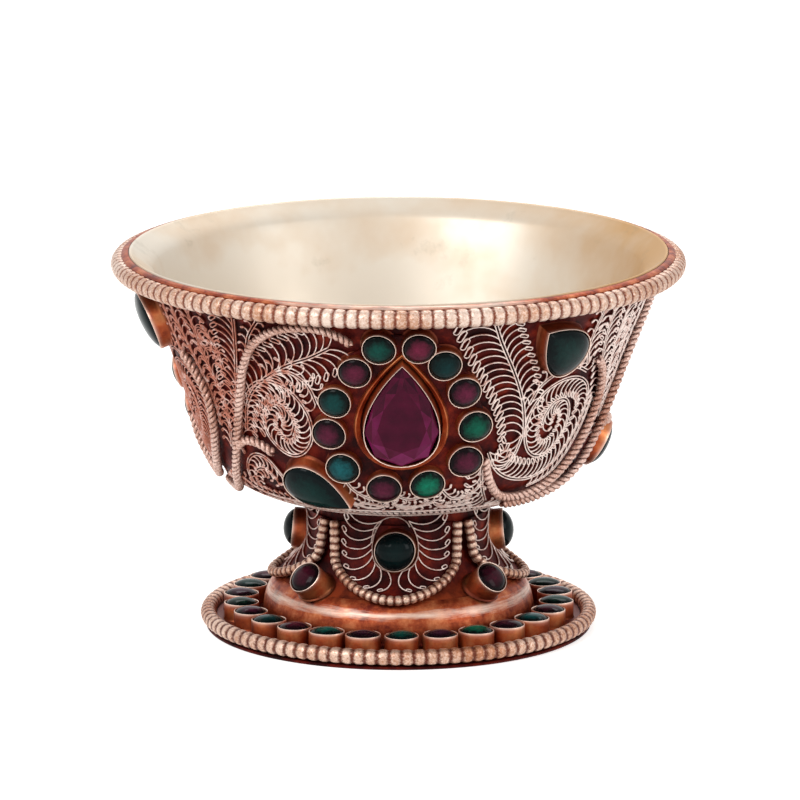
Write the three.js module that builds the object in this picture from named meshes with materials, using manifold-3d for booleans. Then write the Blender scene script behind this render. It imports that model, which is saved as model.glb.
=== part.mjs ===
// A footed water offering bowl in copper: a silvered cup inside a wire-worked shell, set with cabochons,
// on a waisted stem and a spread foot. Millimetres, +Z up, origin under the centre of the foot, front at -Y.
import * as THREE from "three";
import { mergeVertices } from "three/addons/utils/BufferGeometryUtils.js";
import Module from "manifold-3d";

const wasm = await Module();
wasm.setup();

// The clearance between pieces that rest on each other, the furthest that a seat is looked for, and how
// finely round things are drawn.
const SEAT_GAP = 0.3;
const SEAT_SEARCH = 14;
const SPIN_FACETS = 30;
const BEAD_FACETS = 40;
const RING_SIDES = 6;
const LAID_WIRE = { sides: 5, stepsPerPoint: 1.7 };
const WALL_ROWS = 10;
const STEM_ROWS = 5;

// The bowl: its wire-worked face, from the pole underneath to the mouth.
const BOWL_BASE_HEIGHT = 22.6;
const BELLY = { radius: 34.6, height: 33.2 };
const MOUTH = { radius: 46.4, height: 65.2 };
const BELLY_SLOPE = THREE.MathUtils.degToRad(64);
const UNDERSIDE_PULL = { pole: 21, belly: 7.8 };
const WALL_PULL = { belly: 6.7, mouth: { radius: 6.4, height: 13.2 } };
const FILIGREE_THICKNESS = 0.8;
const SHELL_THICKNESS = 0.8;
const LINER_THICKNESS = 0.7;

// The rim: a beaded wire under the shell's turned lip.
const RIM_BEAD = { outerRadius: 51, wireRadius: 1.65, height: 65.9 };
const LIP_THICKNESS = 0.4;
const LINER_LIP = { radius: 47.8, rise: 0.25 };

// The settings of the bowl's wall, three of each round the bowl.
const SECTORS = 3;
const SECTOR_DEGREES = 360 / SECTORS;
const BEZEL_WALL = 0.45;
const STONE_GAP = 0.1;
const STONE_EDGE_DEPTH = 0.3;
const STONE_SHOULDER_SHARE = 0.7;
const CUP_SIDES = 8;
const PEAR_TAPER = { power: 0.9, swell: 1.22 };
const MEDALLION = { azimuth: 0.8, arc: 52.9, across: 17.2, up: 18, thickness: 0.5 };
const CUP = { radius: 3.2, height: 1.5, dome: 1.0, sunk: 0.15 };
const TEARDROP = { arc: 53.5, width: 14, length: 20.4, height: 2.5, dome: 1.3, lean: 90 };
const UPPER_PEAR = { azimuth: 39.8, arc: 64.3, width: 10, length: 12.6, height: 2.3, dome: 1.4, lean: 140 };
const LOWER_PEAR = { azimuth: 96.3, arc: 36.8, width: 9.4, length: 13.2, height: 2.1, dome: 1.7, lean: -32 };
const PANEL_ARC = { low: 17, high: 70.8, closest: 1 };

// The small cups round the teardrop, as azimuth in degrees and distance up the wall.
const MEDALLION_CUPS = [
  [15.8, 57.2], [10.5, 63], [4.5, 66.7], [-4.3, 66.5], [-10, 61.5], [-15.5, 55.2],
  [-17.8, 48.8], [-15, 42], [-4, 38.2], [8, 39], [18, 43.3], [19.5, 50.2],
];

// The beaded vines, as azimuth in degrees and distance up the wall.
const VINE_RADIUS = 0.8;
const LOOP_VINE = [
  [24, 43], [26.5, 38.5], [32, 34.5], [41, 33.4], [50, 35.5],
  [57, 40], [61.5, 46], [62.5, 52], [59.5, 57], [56, 59.5],
];
const MAIN_VINE = [
  [109.5, 66.9], [107, 68.5], [102.5, 69.8], [97, 69.8], [91, 68.4], [85, 65],
  [80.5, 60], [77, 54], [73.5, 48], [69.5, 42], [65, 37], [60, 33.4], [53, 31.2], [45, 30.4], [37, 30.8],
];
const BRANCH_VINE = [[70.5, 43], [75, 44.8], [80, 44.6], [84, 43.2]];

// The stem: a waisted drum clad in petals.
const STEM = { topRadius: 15.4, waistRadius: 15.6, waistHeight: 17, footRadius: 22.6, footHeight: 8.2 };
const STEM_PULL = { radius: 17.2, height: 10.9 };
const STEM_THICKNESS = 0.9;
const PETALS = 4;
const PETAL = { halfWidth: 10.1, topHeight: 21.6, shoulderHeight: 14.8, tipHeight: 8.5, turn: -2 };
const PETAL_EDGE_STEPS = 10;
const PETAL_COLUMNS = 6;
const PETAL_THICKNESS = 0.5;
const PETAL_WIRE_RADIUS = 0.95;
const PETAL_STONE = { radius: 3.65, height: 1.7, dome: 1.7, centreHeight: 17.2 };
const SHOULDER_STONE = { radius: 3.1, height: 3.2, dome: 0.8, elevation: 40, centreHeight: 9.7 };

// The foot: a spun dish with a dome under the stem, a ring of set stones round the dome and a beaded edge on
// a flat plate. Each stands off the one inside it by a named margin.
const DOME_MARGIN = { top: 1.6, shoulder: 1, foot: 1.8, below: 1.1 };
const DOME = {
  holeRadius: 9,
  topRadius: STEM.footRadius - DOME_MARGIN.top,
  topHeight: STEM.footHeight - DOME_MARGIN.below,
  footRadius: STEM.footRadius + DOME_MARGIN.foot,
};
const DOME_SHOULDER = { radius: STEM.footRadius + DOME_MARGIN.shoulder, height: 5.2 };
const DISH = { floorHeight: 1.7, thickness: 0.9 };
const FOOT_CUP = { radius: 3.2, height: 2.9, dome: 0.7 };
const FOOT_CUP_MARGIN = { inside: 0.7, between: 0.44, outside: 1.1 };
const FOOT_RING = {
  radius: DOME.footRadius + FOOT_CUP_MARGIN.inside + FOOT_CUP.radius,
  turn: 1.2,
  strip: 0.4,
  stripWidth: 3.4,
};
const FOOT_CUPS = Math.round(
  (2 * Math.PI * FOOT_RING.radius) / (2 * FOOT_CUP.radius + FOOT_CUP_MARGIN.between),
);
const FOOT_WIRE_RADIUS = 1.4;
const FOOT_BEAD = {
  outerRadius: FOOT_RING.radius + FOOT_CUP.radius + FOOT_CUP_MARGIN.outside + 2 * FOOT_WIRE_RADIUS,
  wireRadius: FOOT_WIRE_RADIUS,
};
const FOOT_PLATE_INSET = 0.8;
const FOOT_PLATE = { thickness: 0.5, radius: FOOT_BEAD.outerRadius - FOOT_PLATE_INSET };

const materials = {
  silver: new THREE.MeshStandardMaterial({ color: 0xe8dcc0, metalness: 0.8, roughness: 0.35 }),
  copper: new THREE.MeshStandardMaterial({ color: 0xb5643c, metalness: 0.8, roughness: 0.4 }),
  darkCopper: new THREE.MeshStandardMaterial({ color: 0x5e2417, metalness: 0.5, roughness: 0.6 }),
  washedWire: new THREE.MeshStandardMaterial({ color: 0xdcb49c, metalness: 0.7, roughness: 0.4 }),
  ruby: new THREE.MeshStandardMaterial({ color: 0x5c1838, metalness: 0, roughness: 0.1 }),
  emerald: new THREE.MeshStandardMaterial({ color: 0x123c36, metalness: 0, roughness: 0.1 }),
};

const radians = THREE.MathUtils.degToRad;
const bowl = new THREE.Group();

function place(name, geometry, material) {
  const mesh = new THREE.Mesh(geometry, materials[material]);
  mesh.name = name;
  bowl.add(mesh);
}

function toSolid(geometry) {
  const bare = geometry.clone();
  bare.deleteAttribute("normal");
  bare.deleteAttribute("uv");
  const merged = mergeVertices(bare, 1e-4);
  const vertProperties = new Float32Array(merged.attributes.position.array);
  const triVerts = new Uint32Array(merged.index.array);
  return new wasm.Manifold(new wasm.Mesh({ numProp: 3, vertProperties, triVerts }));
}

function toGeometry(solid) {
  const mesh = solid.getMesh();
  const geometry = new THREE.BufferGeometry();
  geometry.setAttribute("position", new THREE.BufferAttribute(mesh.vertProperties, 3));
  geometry.setIndex(new THREE.BufferAttribute(mesh.triVerts, 1));
  return geometry;
}

// A side view of a spun face, as a curve of radius against height, with places and distances measured on it.
class SpunFace {
  constructor(curves, divisions = 160) {
    this.path = new THREE.CurvePath();
    curves.forEach((curve) => this.path.add(curve));
    this.path.arcLengthDivisions = divisions;
    this.length = this.path.getLength();
    this.samples = Array.from({ length: divisions + 1 }, (_, i) => this.path.getPointAt(i / divisions));
  }

  at(arc) {
    const share = THREE.MathUtils.clamp(arc / this.length, 0, 1);
    const point = this.path.getPointAt(share);
    const tangent = this.path.getTangentAt(share);
    return { point, tangent, normal: new THREE.Vector2(tangent.y, -tangent.x) };
  }

  arcAtHeight(height) {
    const over = this.samples.map((p) => p.y - height);
    const index = over.findIndex((rise, i) => i > 0 && rise * over[i - 1] <= 0);
    return (this.length * index) / (this.samples.length - 1);
  }

  arcAtRadius(radius) {
    const index = this.samples.findIndex((p) => p.x >= radius);
    return (this.length * index) / (this.samples.length - 1);
  }

  // Distance of a point from the face, positive outside.
  distance(radius, height) {
    let best = Infinity;
    let signed = 0;
    for (let i = 1; i < this.samples.length; i++) {
      const a = this.samples[i - 1];
      const b = this.samples[i];
      const along = new THREE.Vector2().subVectors(b, a);
      const to = new THREE.Vector2(radius - a.x, height - a.y);
      const share = THREE.MathUtils.clamp(to.dot(along) / along.lengthSq(), 0, 1);
      const gap = to.clone().addScaledVector(along, -share);
      if (gap.length() < best) {
        best = gap.length();
        signed = Math.sign(to.x * along.y - to.y * along.x) * best;
      }
    }
    return signed;
  }

  // Distances up the face that stand closer together where it bends.
  stations(count) {
    const bends = this.samples.map((p, i) => {
      if (i === 0 || i === this.samples.length - 1) return 0;
      const before = new THREE.Vector2().subVectors(p, this.samples[i - 1]).angle();
      const after = new THREE.Vector2().subVectors(this.samples[i + 1], p).angle();
      return Math.abs(after - before);
    });
    const allBends = bends.reduce((sum, bend) => sum + bend, 0);
    const effort = [];
    bends.reduce((sum, bend, i) => (effort[i] = sum + (i && 1 / (bends.length - 1) + bend / allBends)), 0);
    return Array.from({ length: count + 1 }, (_, k) => {
      const index = effort.findIndex((value) => value >= (2 * k) / count - 1e-6);
      return (this.length * index) / (bends.length - 1);
    });
  }

  // Points of the face at some distances up it, moved outwards.
  offset(arcs, distance) {
    return arcs.map((arc) => {
      const { point, normal } = this.at(arc);
      return new THREE.Vector2(Math.max(0, point.x + normal.x * distance), point.y + normal.y * distance);
    });
  }

  // The point in space at an azimuth, a distance up the face and a lift off it.
  place(azimuth, arc, lift) {
    const { point, normal } = this.at(arc);
    const radius = point.x + normal.x * lift;
    const height = point.y + normal.y * lift;
    return new THREE.Vector3(radius * Math.sin(azimuth), -radius * Math.cos(azimuth), height);
  }

  // Axes on the face: right, up the face, and out of it.
  frame(azimuth, arc, tilt = 0) {
    const { tangent, normal } = this.at(arc);
    const outward = new THREE.Vector3(Math.sin(azimuth), -Math.cos(azimuth), 0);
    const right = new THREE.Vector3(Math.cos(azimuth), Math.sin(azimuth), 0);
    const out = outward.clone().multiplyScalar(normal.x).add(new THREE.Vector3(0, 0, normal.y));
    const up = outward.clone().multiplyScalar(tangent.x).add(new THREE.Vector3(0, 0, tangent.y));
    out.applyAxisAngle(right, tilt);
    up.applyAxisAngle(right, tilt);
    return { face: this, origin: this.place(azimuth, arc, 0), right, up, out };
  }
}

// A point of a frame: across, up and out, in millimetres from its origin.
function inFrame(frame, x, y, lift) {
  return frame.origin
    .clone()
    .addScaledVector(frame.right, x)
    .addScaledVector(frame.up, y)
    .addScaledVector(frame.out, lift);
}

// How far out along a frame the point over (x, y) is that stands a lift off the spun face.
function seatHeight(frame, x, y, lift) {
  let low = -SEAT_SEARCH;
  let high = SEAT_SEARCH;
  for (let i = 0; i < 30; i++) {
    const middle = (low + high) / 2;
    const p = inFrame(frame, x, y, middle);
    if (frame.face.distance(Math.hypot(p.x, p.y), p.z) < lift) low = middle;
    else high = middle;
  }
  return (low + high) / 2;
}

const seated = (frame, x, y, lift) => inFrame(frame, x, y, seatHeight(frame, x, y, lift));

// A closed body through rings of points that run anticlockwise seen from its outer end.
// A looped body joins its last ring to its first. Any other has its ends closed on a root and a crown,
// which are the middles of the end rings unless they are given.
function loft(rings, { looped = false, root = null, crown = null } = {}) {
  const count = rings[0].length;
  const points = rings.flat();
  const index = [];
  const last = looped ? rings.length : rings.length - 1;
  for (let j = 0; j < last; j++)
    for (let k = 0; k < count; k++) {
      const next = (k + 1) % count;
      const a = j * count;
      const b = ((j + 1) % rings.length) * count;
      index.push(a + k, a + next, b + next, a + k, b + next, b + k);
    }
  if (!looped)
    for (const [ring, tip, flip] of [[0, root, true], [rings.length - 1, crown, false]]) {
      const middle = new THREE.Vector3();
      rings[ring].forEach((p) => middle.addScaledVector(p, 1 / count));
      points.push(tip ?? middle);
      for (let k = 0; k < count; k++) {
        const pair = [ring * count + k, ring * count + ((k + 1) % count)];
        index.push(points.length - 1, ...(flip ? pair.reverse() : pair));
      }
    }
  const geometry = new THREE.BufferGeometry();
  const numbers = points.flatMap((p) => [p.x, p.y, p.z]);
  geometry.setAttribute("position", new THREE.Float32BufferAttribute(numbers, 3));
  geometry.setIndex(index);
  return geometry;
}

function ellipseOutline(across, up, count) {
  return Array.from({ length: count }, (_, k) => {
    const angle = (2 * Math.PI * k) / count;
    return [across * Math.cos(angle), up * Math.sin(angle)];
  });
}

// A pear outline about the middle of its length, with its point towards the lean angle.
function pearOutline(width, length, lean, inset, count = 14) {
  const turn = radians(lean);
  return Array.from({ length: count }, (_, k) => {
    const angle = (2 * Math.PI * k) / count;
    const along = (length / 2 - inset) * Math.cos(angle);
    const taper = PEAR_TAPER.swell * Math.pow(Math.sin(angle / 2), PEAR_TAPER.power);
    const across = (width / 2 - inset) * Math.sin(angle) * taper;
    return [
      along * Math.cos(turn) - across * Math.sin(turn),
      along * Math.sin(turn) + across * Math.cos(turn),
    ];
  });
}

function ringOf(outline, scale, point) {
  return outline.map(([x, y]) => point(x * scale, y * scale));
}

// A bezel wall with its foot filed to the face and its top flat, and the flat-backed stone inside it.
function setting(frame, outline, height, dome, footLift) {
  const flat = (lift) => (x, y) => inFrame(frame, x, y, lift);
  const foot = (x, y) => seated(frame, x, y, footLift);
  const outer = outline(0);
  const inner = outline(BEZEL_WALL);
  const stone = outline(BEZEL_WALL + STONE_GAP);
  const highest = Math.max(footLift, ...stone.map(([x, y]) => seatHeight(frame, x, y, footLift)));
  const top = highest + height;
  const bezel = loft(
    [
      ringOf(outer, 1, foot),
      ringOf(outer, 1, flat(top)),
      ringOf(inner, 1, flat(top)),
      ringOf(inner, 1, foot),
    ],
    { looped: true },
  );
  const bead = loft([
    ringOf(stone, 1, flat(highest + STONE_GAP)),
    ringOf(stone, 1, flat(top - STONE_EDGE_DEPTH)),
    ringOf(stone, STONE_SHOULDER_SHARE, flat(top + dome * STONE_SHOULDER_SHARE)),
  ], { crown: flat(top + dome)(0, 0) });
  return { bezel, bead };
}

// A bezel cup filled by its stone, in one body, standing in the plate that it is soldered to.
function filledCup(frame, size, foot) {
  const outline = ellipseOutline(size.radius, size.radius, CUP_SIDES);
  const flat = (lift) => (x, y) => inFrame(frame, x, y, lift);
  const top = foot + size.height;
  const crown = flat(top + size.dome)(0, 0);
  return toSolid(loft([ringOf(outline, 1, flat(foot)), ringOf(outline, 1, flat(top))], { crown }));
}

function spun(points, facets = SPIN_FACETS) {
  return new THREE.LatheGeometry(points, facets).rotateX(Math.PI / 2);
}

// A round wire bent into a ring about the axis.
function wireRing(outerRadius, wireRadius, height) {
  const centre = outerRadius - wireRadius;
  const section = Array.from({ length: RING_SIDES + 1 }, (_, i) => {
    const angle = ((i % RING_SIDES) / RING_SIDES) * 2 * Math.PI;
    return new THREE.Vector2(centre + wireRadius * Math.cos(angle), height + wireRadius * Math.sin(angle));
  });
  return spun(section, BEAD_FACETS);
}

// A wire laid on a face along points of azimuth in degrees and distance up the face.
function laidWire(face, route, turn, radius, lift) {
  const steps = Math.round(LAID_WIRE.stepsPerPoint * route.length);
  const line = new THREE.CatmullRomCurve3(route.map(([az, arc]) => new THREE.Vector3(az, arc, 0)));
  const onFace = new THREE.CatmullRomCurve3(
    line.getSpacedPoints(steps).map((p) => face.place(radians(p.x + turn), p.y, lift)),
  );
  const section = new THREE.Shape(
    Array.from({ length: LAID_WIRE.sides }, (_, k) => {
      const angle = (2 * Math.PI * k) / LAID_WIRE.sides;
      return new THREE.Vector2(radius * Math.cos(angle), radius * Math.sin(angle));
    }),
  );
  return new THREE.ExtrudeGeometry(section, { steps, extrudePath: onFace, bevelEnabled: false });
}

// The faces that pieces are laid on.
const bellyWay = new THREE.Vector2(Math.cos(BELLY_SLOPE), Math.sin(BELLY_SLOPE));
const bellyPoint = new THREE.Vector2(BELLY.radius, BELLY.height);
const mouthPoint = new THREE.Vector2(MOUTH.radius, MOUTH.height);
const underside = new THREE.CubicBezierCurve(
  new THREE.Vector2(0, BOWL_BASE_HEIGHT),
  new THREE.Vector2(UNDERSIDE_PULL.pole, BOWL_BASE_HEIGHT),
  bellyPoint.clone().addScaledVector(bellyWay, -UNDERSIDE_PULL.belly),
  bellyPoint,
);
const wall = new THREE.CubicBezierCurve(
  bellyPoint,
  bellyPoint.clone().addScaledVector(bellyWay, WALL_PULL.belly),
  new THREE.Vector2(MOUTH.radius - WALL_PULL.mouth.radius, MOUTH.height - WALL_PULL.mouth.height),
  mouthPoint,
);
const wallFace = new SpunFace([underside, wall]);
const wallStations = wallFace.stations(WALL_ROWS);
const shellUnder = wallFace.offset([wallFace.arcAtRadius(STEM.topRadius)], -FILIGREE_THICKNESS)[0];
const stemFace = new SpunFace([
  new THREE.QuadraticBezierCurve(
    new THREE.Vector2(STEM.footRadius, STEM.footHeight),
    new THREE.Vector2(STEM_PULL.radius, STEM_PULL.height),
    new THREE.Vector2(STEM.waistRadius, STEM.waistHeight),
  ),
  new THREE.LineCurve(
    new THREE.Vector2(STEM.waistRadius, STEM.waistHeight),
    new THREE.Vector2(STEM.topRadius, shellUnder.y - SEAT_GAP),
  ),
]);
const stemStations = stemFace.stations(STEM_ROWS);

// The spun sheets of the bowl.
function makeShell() {
  const beadCentre = RIM_BEAD.outerRadius - RIM_BEAD.wireRadius;
  const lipUnder = RIM_BEAD.height + RIM_BEAD.wireRadius + SEAT_GAP;
  const lipTop = lipUnder + LIP_THICKNESS;
  const innerLift = -FILIGREE_THICKNESS - SHELL_THICKNESS;
  const neck = RIM_BEAD.outerRadius - 2 * RIM_BEAD.wireRadius - SEAT_GAP;
  const outer = wallFace.offset(wallStations, -FILIGREE_THICKNESS);
  const inner = wallFace.offset(wallStations, innerLift).reverse();
  return spun([
    ...outer,
    new THREE.Vector2(neck, lipUnder),
    new THREE.Vector2(beadCentre, lipUnder),
    new THREE.Vector2(beadCentre, lipTop),
    new THREE.Vector2(LINER_LIP.radius - SHELL_THICKNESS / 2, lipTop),
    ...inner,
  ]);
}

function makeLiner() {
  const outerLift = -FILIGREE_THICKNESS - SHELL_THICKNESS - SEAT_GAP;
  const lipTop = RIM_BEAD.height + RIM_BEAD.wireRadius + SEAT_GAP + LIP_THICKNESS + SEAT_GAP + LINER_LIP.rise;
  const lipUnder = lipTop - LINER_LIP.rise;
  const outer = wallFace.offset(wallStations, outerLift);
  const inner = wallFace.offset(wallStations, outerLift - LINER_THICKNESS).reverse();
  const throat = LINER_LIP.radius - SHELL_THICKNESS / 2 - SEAT_GAP;
  return spun([
    ...outer,
    new THREE.Vector2(throat, lipUnder),
    new THREE.Vector2(LINER_LIP.radius, lipUnder),
    new THREE.Vector2(LINER_LIP.radius, lipTop),
    new THREE.Vector2(throat - LINER_THICKNESS, lipTop),
    ...inner,
  ]);
}

// The bowl's wall settings.
const medallionAt = (sector) => radians(MEDALLION.azimuth + sector * SECTOR_DEGREES);
const pearAt = (pear, sector) => radians(pear.azimuth + sector * SECTOR_DEGREES);

function medallionSetting(sector) {
  const frame = wallFace.frame(medallionAt(sector), MEDALLION.arc);
  const outline = ellipseOutline(MEDALLION.across, MEDALLION.up, 20);
  const under = -FILIGREE_THICKNESS + SEAT_GAP;
  const over = under + MEDALLION.thickness;
  const shares = [0.3, 0.55, 0.75, 0.9, 1];
  const onFace = (lift) => (x, y) => seated(frame, x, y, lift);
  let solid = toSolid(loft([
    ...shares.map((share) => ringOf(outline, share, onFace(under))),
    ...shares.reverse().map((share) => ringOf(outline, share, onFace(over))),
  ], { root: onFace(under)(0, 0), crown: onFace(over)(0, 0) }));
  for (const [azimuth, arc] of MEDALLION_CUPS) {
    const cup = wallFace.frame(radians(azimuth + sector * SECTOR_DEGREES), arc);
    solid = solid.add(filledCup(cup, CUP, over - CUP.sunk));
  }
  return toGeometry(solid);
}

function teardropSetting(sector) {
  const frame = wallFace.frame(medallionAt(sector), TEARDROP.arc);
  const foot = -FILIGREE_THICKNESS + SEAT_GAP + MEDALLION.thickness + SEAT_GAP;
  const outline = (inset) => pearOutline(TEARDROP.width, TEARDROP.length, TEARDROP.lean, inset);
  return setting(frame, outline, TEARDROP.height, TEARDROP.dome, foot);
}

function pearSetting(pear, sector) {
  const frame = wallFace.frame(pearAt(pear, sector), pear.arc);
  const outline = (inset) => pearOutline(pear.width, pear.length, pear.lean, inset, 12);
  return setting(frame, outline, pear.height, pear.dome, -FILIGREE_THICKNESS + SEAT_GAP);
}

// The space that a setting takes through the wire-work, a seat gap larger all round.
function clearance(frame, outline) {
  const depth = 7;
  return toSolid(loft([
    ringOf(outline, 1, (x, y) => inFrame(frame, x, y, -depth)),
    ringOf(outline, 1, (x, y) => inFrame(frame, x, y, depth)),
  ]));
}

// One third of the wire-work between two medallions, as the sheet of space that it fills.
function filigreePanel(sector) {
  const under = -FILIGREE_THICKNESS + SEAT_GAP;
  const edge = SEAT_GAP / MOUTH.radius;
  const start = medallionAt(sector) + edge;
  const end = medallionAt(sector + 1) - edge;
  const { low, high, closest } = PANEL_ARC;
  const between = wallStations.filter((arc) => arc > low + closest && arc < high - closest);
  const arcs = [low, ...between, high];
  const rows = arcs.length - 1;
  const box = new THREE.BoxGeometry(1, 1, 1, SPIN_FACETS / SECTORS, rows, 1);
  const position = box.attributes.position;
  for (let i = 0; i < position.count; i++) {
    const azimuth = start + (end - start) * (position.getX(i) + 0.5);
    const arc = arcs[Math.round((position.getY(i) + 0.5) * rows)];
    const p = wallFace.place(azimuth, arc, position.getZ(i) > 0 ? 0 : under);
    position.setXYZ(i, p.x, p.y, p.z);
  }
  let solid = toSolid(box);
  const gap = -SEAT_GAP;
  for (const side of [sector, sector + 1]) {
    const frame = wallFace.frame(medallionAt(side), MEDALLION.arc);
    const outline = ellipseOutline(MEDALLION.across + SEAT_GAP, MEDALLION.up + SEAT_GAP, 20);
    solid = solid.subtract(clearance(frame, outline));
  }
  for (const pear of [UPPER_PEAR, LOWER_PEAR]) {
    const frame = wallFace.frame(pearAt(pear, sector), pear.arc);
    solid = solid.subtract(clearance(frame, pearOutline(pear.width, pear.length, pear.lean, gap, 12)));
  }
  return toGeometry(solid);
}

const vineLift = SEAT_GAP + VINE_RADIUS;
const vine = (route, sector) => laidWire(wallFace, route, sector * SECTOR_DEGREES, VINE_RADIUS, vineLift);
const forkedVine = (sector) =>
  toGeometry(toSolid(vine(MAIN_VINE, sector)).add(toSolid(vine(BRANCH_VINE, sector))));

// The stem and what is soldered to it.
function makeStem() {
  const outer = stemFace.offset(stemStations, 0);
  const inner = stemFace.offset(stemStations, -STEM_THICKNESS).reverse();
  return spun([...outer, ...inner, outer[0]]);
}

// A petal: a tongue of sheet with a beaded wire round its sides and tip. Its edge runs straight down to its
// shoulders and round below them, and is given as millimetres from its middle line and up the stem.
const petalAt = (index) => radians(PETAL.turn) + (2 * Math.PI * index) / PETALS;
const azimuthAcross = (across, arc) => Math.asin(across / stemFace.at(arc).point.x);

function petalEdge() {
  const top = stemFace.arcAtHeight(PETAL.topHeight);
  const fall = PETAL.shoulderHeight - PETAL.tipHeight;
  const straight = [top, (top + stemFace.arcAtHeight(PETAL.shoulderHeight)) / 2];
  const round = Array.from({ length: PETAL_EDGE_STEPS + 1 }, (_, i) => {
    const angle = (Math.PI * i) / PETAL_EDGE_STEPS;
    const arc = stemFace.arcAtHeight(PETAL.shoulderHeight - fall * Math.sin(angle));
    return [-PETAL.halfWidth * Math.cos(angle), arc];
  });
  const left = straight.map((arc) => [-PETAL.halfWidth, arc]);
  const right = straight.map((arc) => [PETAL.halfWidth, arc]);
  return [...left, ...round, ...right.reverse()];
}

function makePetal(index) {
  const middle = petalAt(index);
  const edge = petalEdge();
  const rows = (edge.length - 3) / 2;
  const box = new THREE.BoxGeometry(2, 1, 1, PETAL_COLUMNS, rows, 1);
  const position = box.attributes.position;
  for (let i = 0; i < position.count; i++) {
    const [across, arc] = edge[Math.round((0.5 - position.getY(i)) * rows)];
    const azimuth = middle + azimuthAcross(-across * position.getX(i), arc);
    const lift = SEAT_GAP + (position.getZ(i) > 0 ? PETAL_THICKNESS : 0);
    const p = stemFace.place(azimuth, arc, lift);
    position.setXYZ(i, p.x, p.y, p.z);
  }
  const route = edge.map(([across, arc]) => [THREE.MathUtils.radToDeg(azimuthAcross(across, arc)), arc]);
  const turn = THREE.MathUtils.radToDeg(middle);
  const wire = laidWire(stemFace, route, turn, PETAL_WIRE_RADIUS, SEAT_GAP + PETAL_WIRE_RADIUS);
  return toGeometry(toSolid(box).add(toSolid(wire)));
}

function petalStone(index) {
  const frame = stemFace.frame(petalAt(index), stemFace.arcAtHeight(PETAL_STONE.centreHeight));
  const outline = (inset) => ellipseOutline(PETAL_STONE.radius - inset, PETAL_STONE.radius - inset, 10);
  return setting(frame, outline, PETAL_STONE.height, PETAL_STONE.dome, 2 * SEAT_GAP + PETAL_THICKNESS);
}

// A stone between two petals, leaning back on the flare of the stem.
function shoulderStone(index) {
  const azimuth = (2 * Math.PI * (index + 0.5)) / PETALS;
  const arc = stemFace.arcAtHeight(SHOULDER_STONE.centreHeight);
  const { normal } = stemFace.at(arc);
  const tilt = radians(SHOULDER_STONE.elevation) - Math.atan2(normal.y, normal.x);
  const frame = stemFace.frame(azimuth, arc, -tilt);
  const outline = (inset) => ellipseOutline(SHOULDER_STONE.radius - inset, SHOULDER_STONE.radius - inset, 10);
  return setting(frame, outline, SHOULDER_STONE.height, SHOULDER_STONE.dome, SEAT_GAP);
}

// The foot, from the dome down to the plate that it stands on.
function makeDish() {
  const outerRadius = FOOT_BEAD.outerRadius - 2 * FOOT_BEAD.wireRadius - SEAT_GAP;
  const shoulderTop = new THREE.QuadraticBezierCurve(
    new THREE.Vector2(DOME.topRadius, DOME.topHeight),
    new THREE.Vector2(DOME_SHOULDER.radius, DOME.topHeight),
    new THREE.Vector2(DOME_SHOULDER.radius, DOME_SHOULDER.height),
  ).getPoints(3);
  const outer = [
    new THREE.Vector2(outerRadius, DISH.floorHeight),
    new THREE.Vector2(DOME.footRadius, DISH.floorHeight),
    ...shoulderTop.reverse(),
    new THREE.Vector2(DOME.holeRadius, DOME.topHeight),
  ];
  const under = (p, dx, dy) => new THREE.Vector2(p.x + dx, p.y + dy);
  const t = DISH.thickness;
  const inner = [
    under(outer[outer.length - 1], 0, -t),
    under(outer[outer.length - 2], 0, -t),
    new THREE.Vector2(DOME_SHOULDER.radius - t, DOME_SHOULDER.height),
    new THREE.Vector2(DOME.footRadius - t, DISH.floorHeight - t),
    under(outer[0], 0, -t),
  ];
  return spun([...outer, ...inner, outer[0]]);
}

function makeFootPlate() {
  return spun([
    new THREE.Vector2(0, 0),
    new THREE.Vector2(FOOT_PLATE.radius, 0),
    new THREE.Vector2(FOOT_PLATE.radius, FOOT_PLATE.thickness),
    new THREE.Vector2(0, FOOT_PLATE.thickness),
  ]);
}

// The cups of the foot, filled by their stones, soldered side by side on a strip.
function footSettingRing() {
  const floor = DISH.floorHeight + SEAT_GAP;
  const inner = FOOT_RING.radius - FOOT_RING.stripWidth / 2;
  const outer = FOOT_RING.radius + FOOT_RING.stripWidth / 2;
  let solid = toSolid(spun([
    new THREE.Vector2(outer, floor),
    new THREE.Vector2(outer, floor + FOOT_RING.strip),
    new THREE.Vector2(inner, floor + FOOT_RING.strip),
    new THREE.Vector2(inner, floor),
    new THREE.Vector2(outer, floor),
  ], FOOT_CUPS));
  for (let k = 0; k < FOOT_CUPS; k++) {
    const azimuth = radians(FOOT_RING.turn) + (2 * Math.PI * k) / FOOT_CUPS;
    const frame = {
      origin: new THREE.Vector3(Math.sin(azimuth), -Math.cos(azimuth), 0)
        .multiplyScalar(FOOT_RING.radius)
        .setZ(floor),
      right: new THREE.Vector3(Math.cos(azimuth), Math.sin(azimuth), 0),
      up: new THREE.Vector3(-Math.sin(azimuth), Math.cos(azimuth), 0),
      out: new THREE.Vector3(0, 0, 1),
    };
    solid = solid.add(filledCup(frame, FOOT_CUP, 0));
  }
  return toGeometry(solid);
}

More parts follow.
